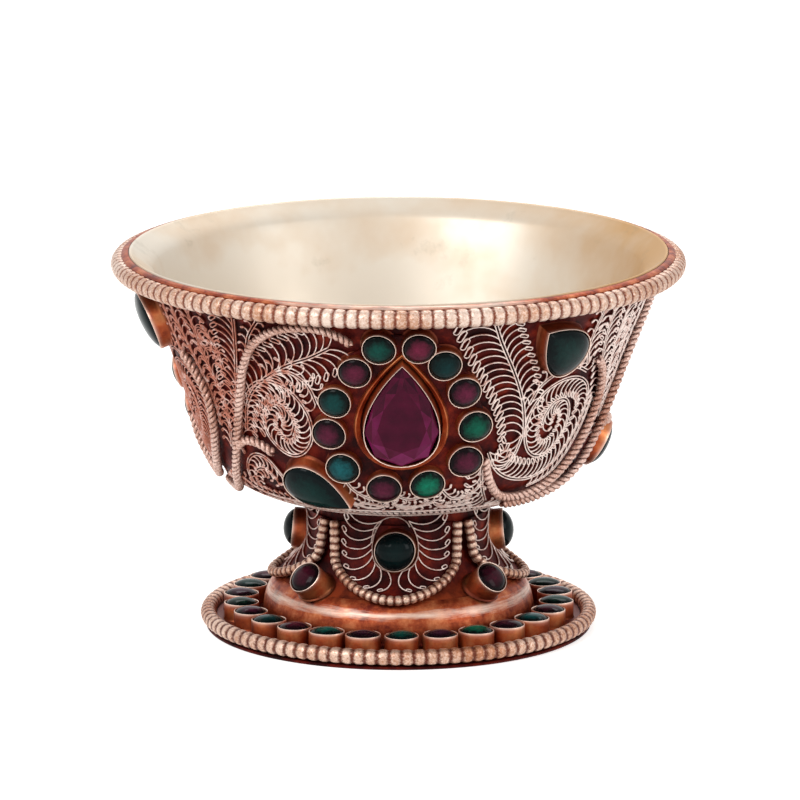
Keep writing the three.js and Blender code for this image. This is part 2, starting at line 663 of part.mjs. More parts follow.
place("bowl_liner", makeLiner(), "silver");
place("bowl_shell", makeShell(), "darkCopper");
place(
  "rim_bead_wire",
  wireRing(RIM_BEAD.outerRadius, RIM_BEAD.wireRadius, RIM_BEAD.height),
  "washedWire",
);
for (let sector = 0; sector < SECTORS; sector++) {
  const number = sector + 1;
  place(`filigree_panel_${number}`, filigreePanel(sector), "washedWire");
  place(`medallion_setting_${number}`, medallionSetting(sector), "copper");
  const teardrop = teardropSetting(sector);
  place(`teardrop_bezel_${number}`, teardrop.bezel, "copper");
  place(`teardrop_stone_${number}`, teardrop.bead, "ruby");
  const upper = pearSetting(UPPER_PEAR, sector);
  place(`upper_pear_bezel_${number}`, upper.bezel, "copper");
  place(`upper_pear_stone_${number}`, upper.bead, "emerald");
  const lower = pearSetting(LOWER_PEAR, sector);
  place(`lower_pear_bezel_${number}`, lower.bezel, "copper");
  place(`lower_pear_stone_${number}`, lower.bead, "emerald");
  place(`loop_vine_${number}`, vine(LOOP_VINE, sector), "washedWire");
  place(`main_vine_${number}`, forkedVine(sector), "washedWire");
}
place("stem_drum", makeStem(), "darkCopper");
for (let index = 0; index < PETALS; index++) {
  const number = index + 1;
  place(`petal_${number}`, makePetal(index), "washedWire");
  const petal = petalStone(index);
  place(`petal_bezel_${number}`, petal.bezel, "copper");
  place(`petal_stone_${number}`, petal.bead, "emerald");
  const shoulder = shoulderStone(index);
  place(`shoulder_bezel_${number}`, shoulder.bezel, "copper");
  place(`shoulder_stone_${number}`, shoulder.bead, "ruby");
}
place("foot_dish", makeDish(), "copper");
place("foot_setting_ring", footSettingRing(), "copper");
place(
  "foot_bead_wire",
  wireRing(
    FOOT_BEAD.outerRadius,
    FOOT_BEAD.wireRadius,
    FOOT_PLATE.thickness + SEAT_GAP + FOOT_BEAD.wireRadius,
  ),
  "washedWire",
);
place("foot_plate", makeFootPlate(), "darkCopper");

export default bowl;
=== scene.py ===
"""A footed copper bowl for water offerings, with a silvered liner, wire-work and set stones."""

import math

import bpy
import numpy as np
from mathutils import Matrix, Vector


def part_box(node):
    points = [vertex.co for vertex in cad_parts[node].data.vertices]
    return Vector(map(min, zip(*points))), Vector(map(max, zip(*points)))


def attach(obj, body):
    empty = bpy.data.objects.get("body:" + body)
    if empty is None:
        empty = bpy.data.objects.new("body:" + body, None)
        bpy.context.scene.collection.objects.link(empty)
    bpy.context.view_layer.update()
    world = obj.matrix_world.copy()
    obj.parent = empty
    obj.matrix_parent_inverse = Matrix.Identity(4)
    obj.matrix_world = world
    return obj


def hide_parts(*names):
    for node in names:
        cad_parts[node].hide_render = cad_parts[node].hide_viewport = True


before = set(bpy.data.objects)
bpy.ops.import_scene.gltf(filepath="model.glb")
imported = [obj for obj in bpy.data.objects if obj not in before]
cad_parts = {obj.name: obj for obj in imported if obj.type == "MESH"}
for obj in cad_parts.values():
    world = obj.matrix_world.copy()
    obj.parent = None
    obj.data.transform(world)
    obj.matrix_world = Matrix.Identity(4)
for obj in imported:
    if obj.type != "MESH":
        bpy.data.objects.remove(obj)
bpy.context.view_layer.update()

MM = 0.001
scene = bpy.context.scene


# The camera
# It stands where the photograph's ellipses of rim and foot put it, a little above level, with a long lens.
def placed(name, data):
    """A new object in the scene."""
    thing = bpy.data.objects.new(name, data)
    scene.collection.objects.link(thing)
    return thing


CAMERA_AIM = Vector((0.27, 0, 40.75)) * MM
CAMERA_DISTANCE = 1450 * MM
CAMERA_ELEVATION = math.radians(12.65)
CAMERA_LENS = 366.6
CAMERA_REACH = (0.1, 20)
camera_data = bpy.data.cameras.new("camera")
camera_data.sensor_width = 36
camera_data.lens = CAMERA_LENS
camera_data.clip_start, camera_data.clip_end = CAMERA_REACH
camera = placed("camera", camera_data)
camera_way = Vector((0, -math.cos(CAMERA_ELEVATION), math.sin(CAMERA_ELEVATION)))
camera.location = CAMERA_AIM + camera_way * CAMERA_DISTANCE
camera.rotation_euler = (-camera_way).to_track_quat("-Z", "Y").to_euler()
scene.camera = camera
scene.view_settings.view_transform = "Standard"


# The studio
# A white paper floor and backdrop that the camera and the metal see as plain white, with a faint shadow,
# and three soft lamps: a large one high on the left, a weaker one on the right and a strip behind.
def linear(colour):
    """A colour written as sRGB hex, as the linear values that a shader takes."""
    channels = [int(colour[i : i + 2], 16) / 255 for i in (1, 3, 5)]
    return [c / 12.92 if c <= 0.04045 else ((c + 0.055) / 1.055) ** 2.4 for c in channels] + [1]


def feed(node, inputs):
    """Sets a node's inputs, by place or by name: to values, hex colours, sockets or nodes' first outputs."""
    places = [socket for socket in node.inputs if socket.enabled]
    for key, value in inputs.items() if isinstance(inputs, dict) else enumerate(inputs):
        socket = node.inputs[key] if isinstance(key, str) else places[key]
        if isinstance(value, bpy.types.Node):
            value = next(output for output in value.outputs if output.enabled)
        if isinstance(value, bpy.types.NodeSocket):
            node.id_data.links.new(value, socket)
        elif isinstance(value, str) and value.startswith("#"):
            socket.default_value = linear(value)
        else:
            socket.default_value = value


def add(tree, kind, inputs=(), **settings):
    """Adds a node to a tree, with its settings, and feeds its inputs."""
    node = tree.nodes.new(kind)
    for name, value in settings.items():
        setattr(node, name, value)
    feed(node, inputs)
    return node


FLOOR_SIZE = 6
FLOOR_LEVEL = -0.05 * MM
FLOOR_GLOW = 0.62
WORLD_LIGHT = 0.42

floor_material = bpy.data.materials.new("white paper floor")
floor_material.use_nodes = True
tree = floor_material.node_tree
tree.nodes.clear()
rays = add(tree, "ShaderNodeLightPath")
paper = add(tree, "ShaderNodeBsdfDiffuse", {"Color": "#F4F4F2"})
glow = add(tree, "ShaderNodeEmission", {"Color": "#FFFFFF", "Strength": FLOOR_GLOW})
lit_paper = add(tree, "ShaderNodeAddShader", [paper, glow])
from_camera, from_shine = rays.outputs["Is Camera Ray"], rays.outputs["Is Glossy Ray"]
seen = add(tree, "ShaderNodeMath", [from_camera, from_shine], operation="MAXIMUM")
mixed = add(tree, "ShaderNodeMixShader", [seen, paper, lit_paper])
add(tree, "ShaderNodeOutputMaterial", {"Surface": mixed})

floor_mesh = bpy.data.meshes.new("floor")
half = FLOOR_SIZE / 2
corners = [(x, y, FLOOR_LEVEL) for x, y in ((-half, -half), (half, -half), (half, half), (-half, half))]
floor_mesh.from_pydata(corners, [], [(0, 1, 2, 3)])
floor_mesh.materials.append(floor_material)
placed("floor", floor_mesh)

world = bpy.data.worlds.new("studio")
world.use_nodes = True
scene.world = world
tree = world.node_tree
tree.nodes.clear()
rays = add(tree, "ShaderNodeLightPath")
from_camera, through_glass = rays.outputs["Is Camera Ray"], rays.outputs["Is Transmission Ray"]
bright = add(tree, "ShaderNodeMath", [from_camera, through_glass], operation="MAXIMUM")
bright = add(tree, "ShaderNodeMath", [bright, rays.outputs["Is Glossy Ray"]], operation="MAXIMUM")
strength = add(tree, "ShaderNodeMapRange", {"Value": bright, "To Min": WORLD_LIGHT, "To Max": 1.0})
background = add(tree, "ShaderNodeBackground", {"Color": "#FFFFFF", "Strength": strength})
add(tree, "ShaderNodeOutputWorld", {"Surface": background})


def lamp(name, place, size, power):
    """A soft rectangular lamp that looks at the middle of the bowl."""
    data = bpy.data.lights.new(name, "AREA")
    data.shape = "RECTANGLE"
    data.size, data.size_y = size
    data.energy = power
    holder = placed(name, data)
    holder.location = place
    holder.rotation_euler = (CAMERA_AIM - Vector(place)).to_track_quat("-Z", "Y").to_euler()


lamp("left lamp", (-0.55, -0.65, 0.75), (0.5, 0.5), 5.6)
lamp("right lamp", (0.75, -0.45, 0.4), (0.35, 0.5), 1.9)
lamp("back lamp", (0.1, 0.7, 0.8), (0.7, 0.3), 2.4)


# The bowl's liner
# A spun cup of thin copper with a silver wash inside, worn warm and clouded with tarnish, whose edge is
# turned over the copper lip of the shell as a fine bright line.
SHEET_TURNS = 192
SHARP_ANGLE = 40
ON_AXIS = 1e-6


def arc_points(start, pull_start, pull_end, end, count):
    """Points of a cubic curve from its two ends and the two points that it is pulled towards."""
    t = np.linspace(0, 1, count + 1)[:, None]
    a, b, c, d = (np.array(p, float) for p in (start, pull_start, pull_end, end))
    return (1 - t) ** 3 * a + 3 * (1 - t) ** 2 * t * b + 3 * (1 - t) * t**2 * c + t**3 * d


class SpunFace:
    """The side view of a spun sheet, radius against height in millimetres, measured along its length."""

    def __init__(self, *curves):
        points = [curves[0]] + [curve[1:] for curve in curves[1:]]
        self.points = np.vstack(points)
        steps = np.diff(self.points, axis=0)
        self.lengths = np.concatenate([[0], np.cumsum(np.hypot(*steps.T))])
        tangents = np.gradient(self.points, self.lengths, axis=0)
        tangents /= np.linalg.norm(tangents, axis=1)[:, None]
        self.normals = np.stack([tangents[:, 1], -tangents[:, 0]], axis=1)
        self.length = self.lengths[-1]

    def at(self, arc, lift=0.0):
        """Radius and height of the place a distance up the face, moved out by a lift."""
        place = [np.interp(arc, self.lengths, self.points[:, i]) for i in (0, 1)]
        out = [np.interp(arc, self.lengths, self.normals[:, i]) for i in (0, 1)]
        return place[0] + out[0] * lift, place[1] + out[1] * lift

    def arc_at_height(self, height):
        """The distance up the face at which it reaches a height, on a face that only rises or only falls."""
        order = np.argsort(self.points[:, 1])
        return float(np.interp(height, self.points[order, 1], self.lengths[order]))

    def on(self, azimuth, arc, lift=0.0):
        """The place in space, in millimetres, at an azimuth counted from the front towards +X."""
        radius, height = self.at(arc, lift)
        return Vector((radius * math.sin(azimuth), -radius * math.cos(azimuth), height))

    def distance(self, radius, height):
        """How far outside the face a place of the side view lies."""
        gaps = np.hypot(self.points[:, 0] - radius, self.points[:, 1] - height)
        near = int(np.argmin(gaps))
        return float(np.dot(np.array([radius, height]) - self.points[near], self.normals[near]))


def mesh_piece(name, vertices, faces, material, sharp_angle=SHARP_ANGLE):
    """A piece from vertices in millimetres, smooth except at its sharp corners."""
    mesh = bpy.data.meshes.new(name)
    mesh.from_pydata([Vector(v) * MM for v in vertices], [], faces)
    mesh.materials.append(material)
    mesh.update()
    mesh.shade_smooth()
    mesh.set_sharp_from_angle(angle=math.radians(sharp_angle))
    return placed(name, mesh)


def spun_piece(name, outline, material, turns=SHEET_TURNS):
    """A closed ring or disc spun from an outline of radius against height, in millimetres, anticlockwise."""
    vertices, rows = [], []
    for radius, height in outline:
        if radius < ON_AXIS:
            vertices.append((0, 0, height))
            rows.append([len(vertices) - 1] * turns)
            continue
        first = len(vertices)
        for turn in range(turns):
            angle = 2 * math.pi * turn / turns
            vertices.append((radius * math.cos(angle), radius * math.sin(angle), height))
        rows.append(list(range(first, first + turns)))
    faces = []
    for low, high in zip(rows, rows[1:] + rows[:1]):
        if low[0] == low[1] and high[0] == high[1]:
            continue
        for turn in range(turns):
            nxt = (turn + 1) % turns
            corners = [low[turn], low[nxt], high[nxt], high[turn]]
            faces.append(tuple(dict.fromkeys(corners)))
    return mesh_piece(name, vertices, faces, material)


def settle(piece, slot, *nodes):
    """The piece rides on the bowl's one body and stands for the frame's nodes."""
    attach(piece, "root")
    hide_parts(*nodes)


def node_size(node):
    """The size of a frame node across X and its lowest and highest points, in millimetres."""
    low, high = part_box(node)
    return (high.x - low.x) / MM, low.z / MM, high.z / MM


BELLY = (34.6, 33.2)
MOUTH = (46.4, 65.2)
BELLY_SLOPE = math.radians(64)
BOWL_BASE = 22.6
BASE_PULL = 21
BELLY_PULLS = (7.8, 6.7)
MOUTH_PULL = (40, 52)
FACE_STEPS = (60, 80)
SHEET_STEPS = 60
belly_way = np.array([math.cos(BELLY_SLOPE), math.sin(BELLY_SLOPE)])
under_belly, over_belly = BELLY - BELLY_PULLS[0] * belly_way, BELLY + BELLY_PULLS[1] * belly_way
wall_face = SpunFace(
    arc_points((0, BOWL_BASE), (BASE_PULL, BOWL_BASE), under_belly, BELLY, FACE_STEPS[0]),
    arc_points(BELLY, over_belly, MOUTH_PULL, MOUTH, FACE_STEPS[1]),
)

LINER_INSIDE = -2.6
LINER_FLARE = 1.5
LINER_OUTSIDE = -1.9
LINER_EDGE_RADIUS = 47.8
LINER_EDGE_HEIGHT = 68.2
SILVER = "#DDD3C4"
SILVER_SHADE = "#C79E6C"
SILVER_TARNISH = "#98907A"


def material_of(name, values):
    """A new material, its tree, its shader with the values that don't vary, and the place being shaded."""
    material = bpy.data.materials.new(name)
    material.use_nodes = True
    tree = material.node_tree
    shader = tree.nodes["Principled BSDF"]
    feed(shader, values)
    return material, tree, shader, add(tree, "ShaderNodeTexCoord").outputs["Object"]


# Silver wash on copper, burnished by hand: pale and satin, warmer towards the rim, with soft clouds of
# yellow and spots of grey tarnish. Towards the right it turns darker and golden as painted shade.
silver_wash, tree, shader, where = material_of("burnished silver wash", {"Metallic": 0.6})
clouds = add(tree, "ShaderNodeTexNoise", [where, 1 / (22 * MM), 4, 0.55])
apart = add(tree, "ShaderNodeSeparateXYZ", [where])
below_rim = add(tree, "ShaderNodeMapRange", [apart.outputs["Z"], 55 * MM, 68 * MM])
golden = add(tree, "ShaderNodeMath", [below_rim, 0.2, clouds], operation="MULTIPLY_ADD")
# Painted shade: darker and more golden towards the right side of the bowl.
painted_shade_to_right = add(tree, "ShaderNodeMapRange", [apart.outputs["X"], 8 * MM, 46 * MM, 0, 0.5])
golden = add(tree, "ShaderNodeMath", [golden, painted_shade_to_right], operation="ADD")
golden_share = add(tree, "ShaderNodeMapRange", [golden, 0.58, 1.12])
warm = add(tree, "ShaderNodeMix", [golden_share, SILVER, SILVER_SHADE], data_type="RGBA")
spots = add(tree, "ShaderNodeTexNoise", [where, 1 / (9 * MM), 6, 0.65])
spot_share = add(tree, "ShaderNodeMapRange", [spots, 0.6, 0.8, 0, 0.5])
tarnished = add(tree, "ShaderNodeMix", [spot_share, warm, SILVER_TARNISH], data_type="RGBA")
rough = add(tree, "ShaderNodeMapRange", [clouds, 0.3, 0.7, 0.42, 0.58])
feed(shader, {"Base Color": tarnished, "Roughness": rough})

to_flare = wall_face.length - LINER_FLARE
liner_outside = [wall_face.at(arc, LINER_OUTSIDE) for arc in np.linspace(0, wall_face.length, SHEET_STEPS)]
liner_inside = [wall_face.at(arc, LINER_INSIDE) for arc in np.linspace(0, to_flare, SHEET_STEPS)]
flare = arc_points(
    liner_inside[-1],
    np.array(liner_inside[-1]) + 1.2 * belly_way,
    (LINER_EDGE_RADIUS - 1.4, LINER_EDGE_HEIGHT - 0.8),
    (LINER_EDGE_RADIUS - 0.35, LINER_EDGE_HEIGHT),
    10,
)
edge = [
    (LINER_EDGE_RADIUS - 0.3, LINER_EDGE_HEIGHT - 0.55),
    (LINER_EDGE_RADIUS, LINER_EDGE_HEIGHT - 0.4),
    (LINER_EDGE_RADIUS, LINER_EDGE_HEIGHT - 0.15),
    (LINER_EDGE_RADIUS - 0.15, LINER_EDGE_HEIGHT),
]
liner_outline = [*liner_outside, *edge, *[tuple(p) for p in flare[::-1]], *liner_inside[:-1][::-1]]
liner = spun_piece("bowl_liner_silvered", liner_outline, silver_wash)
settle(liner, "silvered_liner", "bowl_liner")


# The bowl's shell
# A spun copper cup under the wire-work, darkened with age to a red-brown that shows between the wires, and
# rubbed bright where it turns out over the beaded wire as a narrow lip, which carries a painted highlight at
# the front.
GROUND_LIFT = -0.55
SHELL_INSIDE = -1.6
GROUND_STEPS = 80
DARK_COPPER = "#4E0E0B"
DARK_COPPER_RED = "#8A2A15"
DARK_COPPER_DEEP = "#240506"
RUBBED_COPPER = "#AA502A"
RUBBED_COPPER_RED = "#742C17"
RUBBED_COPPER_PALE = "#CE8856"
# A pale cream painted highlight for filed rims, and a dark red painted shade for the feet and insides of
# cups.
FILED_EDGE_AND_HIGHLIGHT = "#F2D6C6"
RUBBED_PAINTED_SHADE = "#4A170D"
TURNED_COPPER = "#A04826"
TURNED_COPPER_RED = "#641C0C"
TURNED_COPPER_LIGHT = "#C97A4E"
# A pale cream painted highlight and a dark red painted shade for turned copper.
TURNED_PAINTED_HIGHLIGHT = "#F0DCCB"
TURNED_PAINTED_SHADE = "#5A180B"


def colour_stops(ramp, colours):
    """Gives a ramp its three colours, each at its place."""
    ramp.color_ramp.elements.new(0.5)
    for element, (place, colour) in zip(ramp.color_ramp.elements, colours.items()):
        element.position = place
        element.color = linear(colour)


def mottled(tree, where, size, roughness, colours):
    """Patches of a size in millimetres, and the three colours that they take."""
    patches = add(tree, "ShaderNodeTexNoise", [where, 1 / (size * MM), 6, roughness])
    ramp = add(tree, "ShaderNodeValToRGB", [patches])
    colour_stops(ramp, colours)
    return patches, ramp


# Copper with its fire-scale and handling dirt left in: dull, dark red with patches of brown, never shiny.
dull = {"Metallic": 0.25, "Specular IOR Level": 0.12}
dark_copper, tree, shader, where = material_of("darkened copper", dull)
colours = {0.38: DARK_COPPER_DEEP, 0.53: DARK_COPPER, 0.72: DARK_COPPER_RED}
patches, ramp = mottled(tree, where, 5, 0.65, colours)
handled = add(tree, "ShaderNodeAttribute", attribute_name="handled").outputs["Fac"]
worn_patches = add(tree, "ShaderNodeMapRange", [patches, 0.36, 0.6])
bare = add(tree, "ShaderNodeMath", [handled, worn_patches], operation="MULTIPLY")
copper_colour = add(tree, "ShaderNodeMix", [bare, ramp, TURNED_COPPER], data_type="RGBA")
rough = add(tree, "ShaderNodeMapRange", [patches, 0.3, 0.7, 0.65, 0.48])
grain = add(tree, "ShaderNodeTexNoise", [where, 1 / (0.5 * MM), 3])
bump = add(tree, "ShaderNodeBump", {"Strength": 0.35, "Distance": 0.12 * MM, "Height": grain})
feed(shader, {"Base Color": copper_colour, "Roughness": rough, "Normal": bump})

# Copper rubbed with a cloth: orange and satin, paler where it is handled, with fine scratches round the
# turned parts. Its filed rims carry a pale painted highlight, and a dark red painted shade lies at each cup's
# foot and inside.
rubbed_copper, tree, shader, where = material_of("rubbed copper", {"Metallic": 0.8})
colours = {0.34: RUBBED_COPPER_RED, 0.5: RUBBED_COPPER, 0.72: RUBBED_COPPER_PALE}
patches, ramp = mottled(tree, where, 5, 0.6, colours)
edge = add(tree, "ShaderNodeAttribute", attribute_name="edge").outputs["Fac"]
# Painted shade at the foot and inside of a cup, and a painted highlight on its filed rim.
painted_shade = add(tree, "ShaderNodeMath", [edge, -0.85], operation="MULTIPLY")
with_painted_shade = add(tree, "ShaderNodeMix", [painted_shade, ramp, RUBBED_PAINTED_SHADE], data_type="RGBA")
filed = add(tree, "ShaderNodeMix", [edge, with_painted_shade, FILED_EDGE_AND_HIGHLIGHT], data_type="RGBA")
rough = add(tree, "ShaderNodeMapRange", [patches, 0.3, 0.7, 0.5, 0.34])
feed(shader, {"Base Color": filed, "Roughness": rough})

# Copper turned on a lathe: orange-red with fine rings of paler and darker metal. Where marked, a pale cream
# painted highlight, streaked by the rings, lies on its crests and a red painted shade in its hollows.
turned_copper, tree, shader, where = material_of("turned copper", {"Metallic": 0.75})
colours = {0.36: TURNED_COPPER_RED, 0.5: TURNED_COPPER, 0.68: TURNED_COPPER_LIGHT}
patches, ramp = mottled(tree, where, 4, 0.7, colours)
level = add(tree, "ShaderNodeVectorMath", [where, (1, 1, 0)], operation="MULTIPLY")
radius = add(tree, "ShaderNodeVectorMath", [level], operation="LENGTH")
round_way = add(tree, "ShaderNodeVectorMath", [where, (0.1, 0.1, 1)], operation="MULTIPLY")
rings = add(
    tree,
    "ShaderNodeTexNoise",
    {"Vector": round_way, "W": radius, "Scale": 1 / (0.8 * MM), "Detail": 5, "Roughness": 0.7},
    noise_dimensions="4D",
)
edge = add(tree, "ShaderNodeAttribute", attribute_name="edge").outputs["Fac"]
# Painted shade where the mark is below zero, and a painted highlight where it is above.
shade_mask = add(tree, "ShaderNodeMath", [edge, -1.0, patches], operation="MULTIPLY_ADD")
shade_mask_share = add(tree, "ShaderNodeMapRange", [shade_mask, 0.8, 1.4])
painted_shade = add(tree, "ShaderNodeMix", [shade_mask_share, ramp, TURNED_PAINTED_SHADE], data_type="RGBA")
highlight_mask = add(tree, "ShaderNodeMath", [edge, rings], operation="ADD")
highlight_mask_share = add(tree, "ShaderNodeMapRange", [highlight_mask, 0.95, 1.5])
# The burnished colour here is the painted highlight.
burnished = add(tree, "ShaderNodeMix", [highlight_mask_share, painted_shade, TURNED_PAINTED_HIGHLIGHT], data_type="RGBA")
rough = add(tree, "ShaderNodeMapRange", [rings, 0.3, 0.7, 0.52, 0.34])
bump = add(tree, "ShaderNodeBump", {"Strength": 0.4, "Distance": 0.1 * MM, "Height": rings})
feed(shader, {"Base Color": burnished, "Roughness": rough, "Normal": bump})

ground_arcs = np.linspace(0, wall_face.length, GROUND_STEPS)
shell_outside = [wall_face.at(arc, GROUND_LIFT) for arc in ground_arcs]
shell_inside = [wall_face.at(arc, SHELL_INSIDE) for arc in np.linspace(0, wall_face.length, SHEET_STEPS)]
RIM_BEAD_RADIUS = 1.65
bead_across, bead_low, bead_high = node_size("rim_bead_wire")
rim_centre = bead_across / 2 - RIM_BEAD_RADIUS
rim_height = (bead_low + bead_high) / 2
shell_foot = [(rim_centre - RIM_BEAD_RADIUS - 0.15, rim_height + 0.4)]
shell = spun_piece("bowl_shell_ground", [*shell_outside, *shell_foot, *shell_inside[::-1]], dark_copper)
settle(shell, "dark_copper", "bowl_shell")


def labelled(mesh, label, values):
    """Keeps one number for each vertex of a mesh, for a tree or a material to read."""
    mesh.attributes.new(label, "FLOAT", "POINT").data.foreach_set("value", values)


# The lip carries a painted highlight at its front: how bright it is from a share of its radius to the front
# to another.
LIP_HIGHLIGHT_FROM = [0.6, 0.97]
LIP_PAINTED_HIGHLIGHT = [-0.05, 0.75]
lip_under = rim_height + RIM_BEAD_RADIUS - 0.5
lip_outline = [
    (LINER_EDGE_RADIUS - 0.9, lip_under - 0.3),
    (rim_centre - 0.9, lip_under + 0.2),
    (rim_centre - 0.35, lip_under + 0.3),
    (rim_centre - 0.25, lip_under + 0.55),
    (rim_centre - 0.5, lip_under + 0.75),
    (LINER_EDGE_RADIUS + 0.7, lip_under + 0.92),
    (LINER_EDGE_RADIUS + 0.12, lip_under + 0.95),
    (LINER_EDGE_RADIUS + 0.1, lip_under + 0.6),
    (LINER_EDGE_RADIUS - 0.7, lip_under + 0.3),
]
lip = spun_piece("bowl_shell_lip", lip_outline, turned_copper)
fronts = [-vertex.co.y / (rim_centre * MM) for vertex in lip.data.vertices]
# Painted highlight at the front of the lip.
labelled(lip.data, "edge", np.interp(fronts, LIP_HIGHLIGHT_FROM, LIP_PAINTED_HIGHLIGHT))
settle(lip, "bright_copper", "bowl_shell")


# The rim's beaded wire
# A thick copper wire rolled between grooved dies into a row of short barrels, washed with silver that has
# worn off in the grooves, bent to a ring and soldered under the lip.
RIM_BEADS = 147
RIM_GROOVES = (0.14, 7.0)
CIRCLE_POINTS = 240
WASH = "#EAD3C4"
WASH_WARM = "#BE8868"
GROOVE_COPPER = "#783A24"


def new_tree(name, **inputs):
    """A Geometry Nodes tree with one geometry in and out, named inputs of each kind and a material."""
    tree = bpy.data.node_groups.new(name, "GeometryNodeTree")
    tree.interface.new_socket("Geometry", in_out="INPUT", socket_type="NodeSocketGeometry")
    tree.interface.new_socket("Geometry", in_out="OUTPUT", socket_type="NodeSocketGeometry")
    for kind, labels in {**inputs, "Material": ["Material"]}.items():
        for label in labels:
            tree.interface.new_socket(label, in_out="INPUT", socket_type="NodeSocket" + kind)
    return tree, add(tree, "NodeGroupInput").outputs


def round_wire(tree, line, sides, radius, **inputs):
    """A smooth round wire along a line."""
    section = add(tree, "GeometryNodeCurvePrimitiveCircle", {"Resolution": sides, "Radius": radius})
    swept = {"Curve": line, "Profile Curve": section, "Fill Caps": True, **inputs}
    return add(tree, "GeometryNodeSetShadeSmooth", [add(tree, "GeometryNodeCurveToMesh", swept)])


def close_tree(tree, geometry, material):
    """Ends a tree: the geometry made real and given its material."""
    real = add(tree, "GeometryNodeRealizeInstances", [geometry])
    dressed = add(tree, "GeometryNodeSetMaterial", {"Geometry": real, "Material": material})
    add(tree, "NodeGroupOutput", [dressed])


def grown(name, source, tree, sizes):
    """The plain mesh that a tree grows on a source object, under a new name. The source is used up."""
    modifier = source.modifiers.new(tree.name, "NODES")
    modifier.node_group = tree
    for item in tree.interface.items_tree:
        if item.in_out == "INPUT" and item.name in sizes:
            modifier[item.identifier] = sizes[item.name]
    depsgraph = bpy.context.evaluated_depsgraph_get()
    mesh = bpy.data.meshes.new_from_object(source.evaluated_get(depsgraph), depsgraph=depsgraph)
    mesh.name = name
    bpy.data.objects.remove(source)
    return placed(name, mesh)


def paths(routes, closed=False, curls=None):
    """A scratch object of lines through points in millimetres, with a curl length each side of every point.

    The curls of a route are a left and a right length, each one number or one for the start and the end.
    """
    vertices, edges, left, right = [], [], [], []
    for index, route in enumerate(routes):
        first = len(vertices)
        vertices += [Vector(p) * MM for p in route]
        edges += [(first + i, first + i + 1) for i in range(len(route) - 1)]
        if closed:
            edges.append((len(vertices) - 1, first))
        for values, span in zip((left, right), curls[index] if curls else (0, 0)):
            start, end = span if isinstance(span, tuple) else (span, span)
            values += list(np.linspace(start, end, len(route)) * MM)
    mesh = bpy.data.meshes.new("route")
    mesh.from_pydata(vertices, edges, [])
    labelled(mesh, "left curl", left)
    labelled(mesh, "right curl", right)
    return placed("route", mesh)


# The tree for a rolled wire: points along the route, a groove wherever two beads meet, and a round section
# that narrows there. It leaves the depth in the groove as an attribute for the wire's finish.
STEPS_PER_BEAD = 10
WIRE_SIDES = 14
beaded_wire, given = new_tree(
    "beaded wire", Int=["Beads"], Float=["Wire Radius", "Groove Depth", "Groove Power"]
)
tree = beaded_wire
route = add(tree, "GeometryNodeMeshToCurve", [given["Geometry"]])
count = add(tree, "ShaderNodeMath", [given["Beads"], STEPS_PER_BEAD], operation="MULTIPLY")
resampled = add(tree, "GeometryNodeResampleCurve", {"Curve": route, "Count": count})
index = add(tree, "GeometryNodeInputIndex")
turn = add(tree, "ShaderNodeMath", [index, math.pi / STEPS_PER_BEAD], operation="MULTIPLY")
wave = add(tree, "ShaderNodeMath", [turn], operation="COSINE")
swell = add(tree, "ShaderNodeMath", [wave], operation="ABSOLUTE")
groove = add(tree, "ShaderNodeMath", [swell, given["Groove Power"]], operation="POWER")
groove_mark = {"Geometry": resampled, "Name": "groove", "Value": groove}
marked = add(tree, "GeometryNodeStoreNamedAttribute", groove_mark)
cut = add(tree, "ShaderNodeMath", [groove, given["Groove Depth"]], operation="MULTIPLY")
left_over = add(tree, "ShaderNodeMath", [1.0, cut], operation="SUBTRACT")
wire = round_wire(tree, marked, WIRE_SIDES, given["Wire Radius"], Scale=left_over)
close_tree(tree, wire, given["Material"])


def washed_material(name, wash_colour, warm_colour, groove_colour):
    """Copper wire with a silver wash: pale crests, grooves of bare copper and a fine worn speckle on both.

    On the cords the grooves are darker still, as painted shade.
    """
    material, tree, shader, where = material_of(name, {"Metallic": 0.6})
    depth = add(tree, "ShaderNodeAttribute", attribute_name="groove").outputs["Fac"]
    worn = add(tree, "ShaderNodeTexNoise", [where, 1 / (0.42 * MM), 4, 0.8])
    broad = add(tree, "ShaderNodeTexNoise", [where, 1 / (12 * MM), 2])
    speckle = add(tree, "ShaderNodeMath", [broad, 0.7, worn], operation="MULTIPLY_ADD")
    speckle_share = add(tree, "ShaderNodeMapRange", [speckle, 0.72, 1.02])
    wash = add(tree, "ShaderNodeMix", [speckle_share, wash_colour, warm_colour], data_type="RGBA")
    wear_and_shade = add(tree, "ShaderNodeMath", [worn, 1.6, depth], operation="MULTIPLY_ADD")
    wear_and_shade_share = add(tree, "ShaderNodeMapRange", [wear_and_shade, 0.98, 1.7])
    bead_colour = add(tree, "ShaderNodeMix", [wear_and_shade_share, wash, groove_colour], data_type="RGBA")
    rough = add(tree, "ShaderNodeMapRange", [worn, 0.3, 0.7, 0.3, 0.5])
    bump = add(tree, "ShaderNodeBump", {"Strength": 0.6, "Distance": 0.12 * MM, "Height": worn})
    feed(shader, {"Base Color": bead_colour, "Roughness": rough, "Normal": bump})
    return material


# The rolled wire of the rim: pale pink-silver on the beads, copper between them.
washed_bead = washed_material("silver-washed copper beads", WASH, WASH_WARM, GROOVE_COPPER)


def circle(radius, height):
    """Points of a level circle about the bowl's axis."""
    angles = [2 * math.pi * i / CIRCLE_POINTS for i in range(CIRCLE_POINTS)]
    return [(radius * math.cos(a), radius * math.sin(a), height) for a in angles]


def rolled_wire(name, source, beads, radius, grooves, material):
    """A beaded wire along a route. Its grooves are a depth, as a share of the radius, and a narrowness."""
    depth, power = grooves
    sizes = {"Beads": beads, "Wire Radius": radius * MM, "Groove Depth": depth, "Groove Power": power}
    return grown(name, source, beaded_wire, {**sizes, "Material": material})


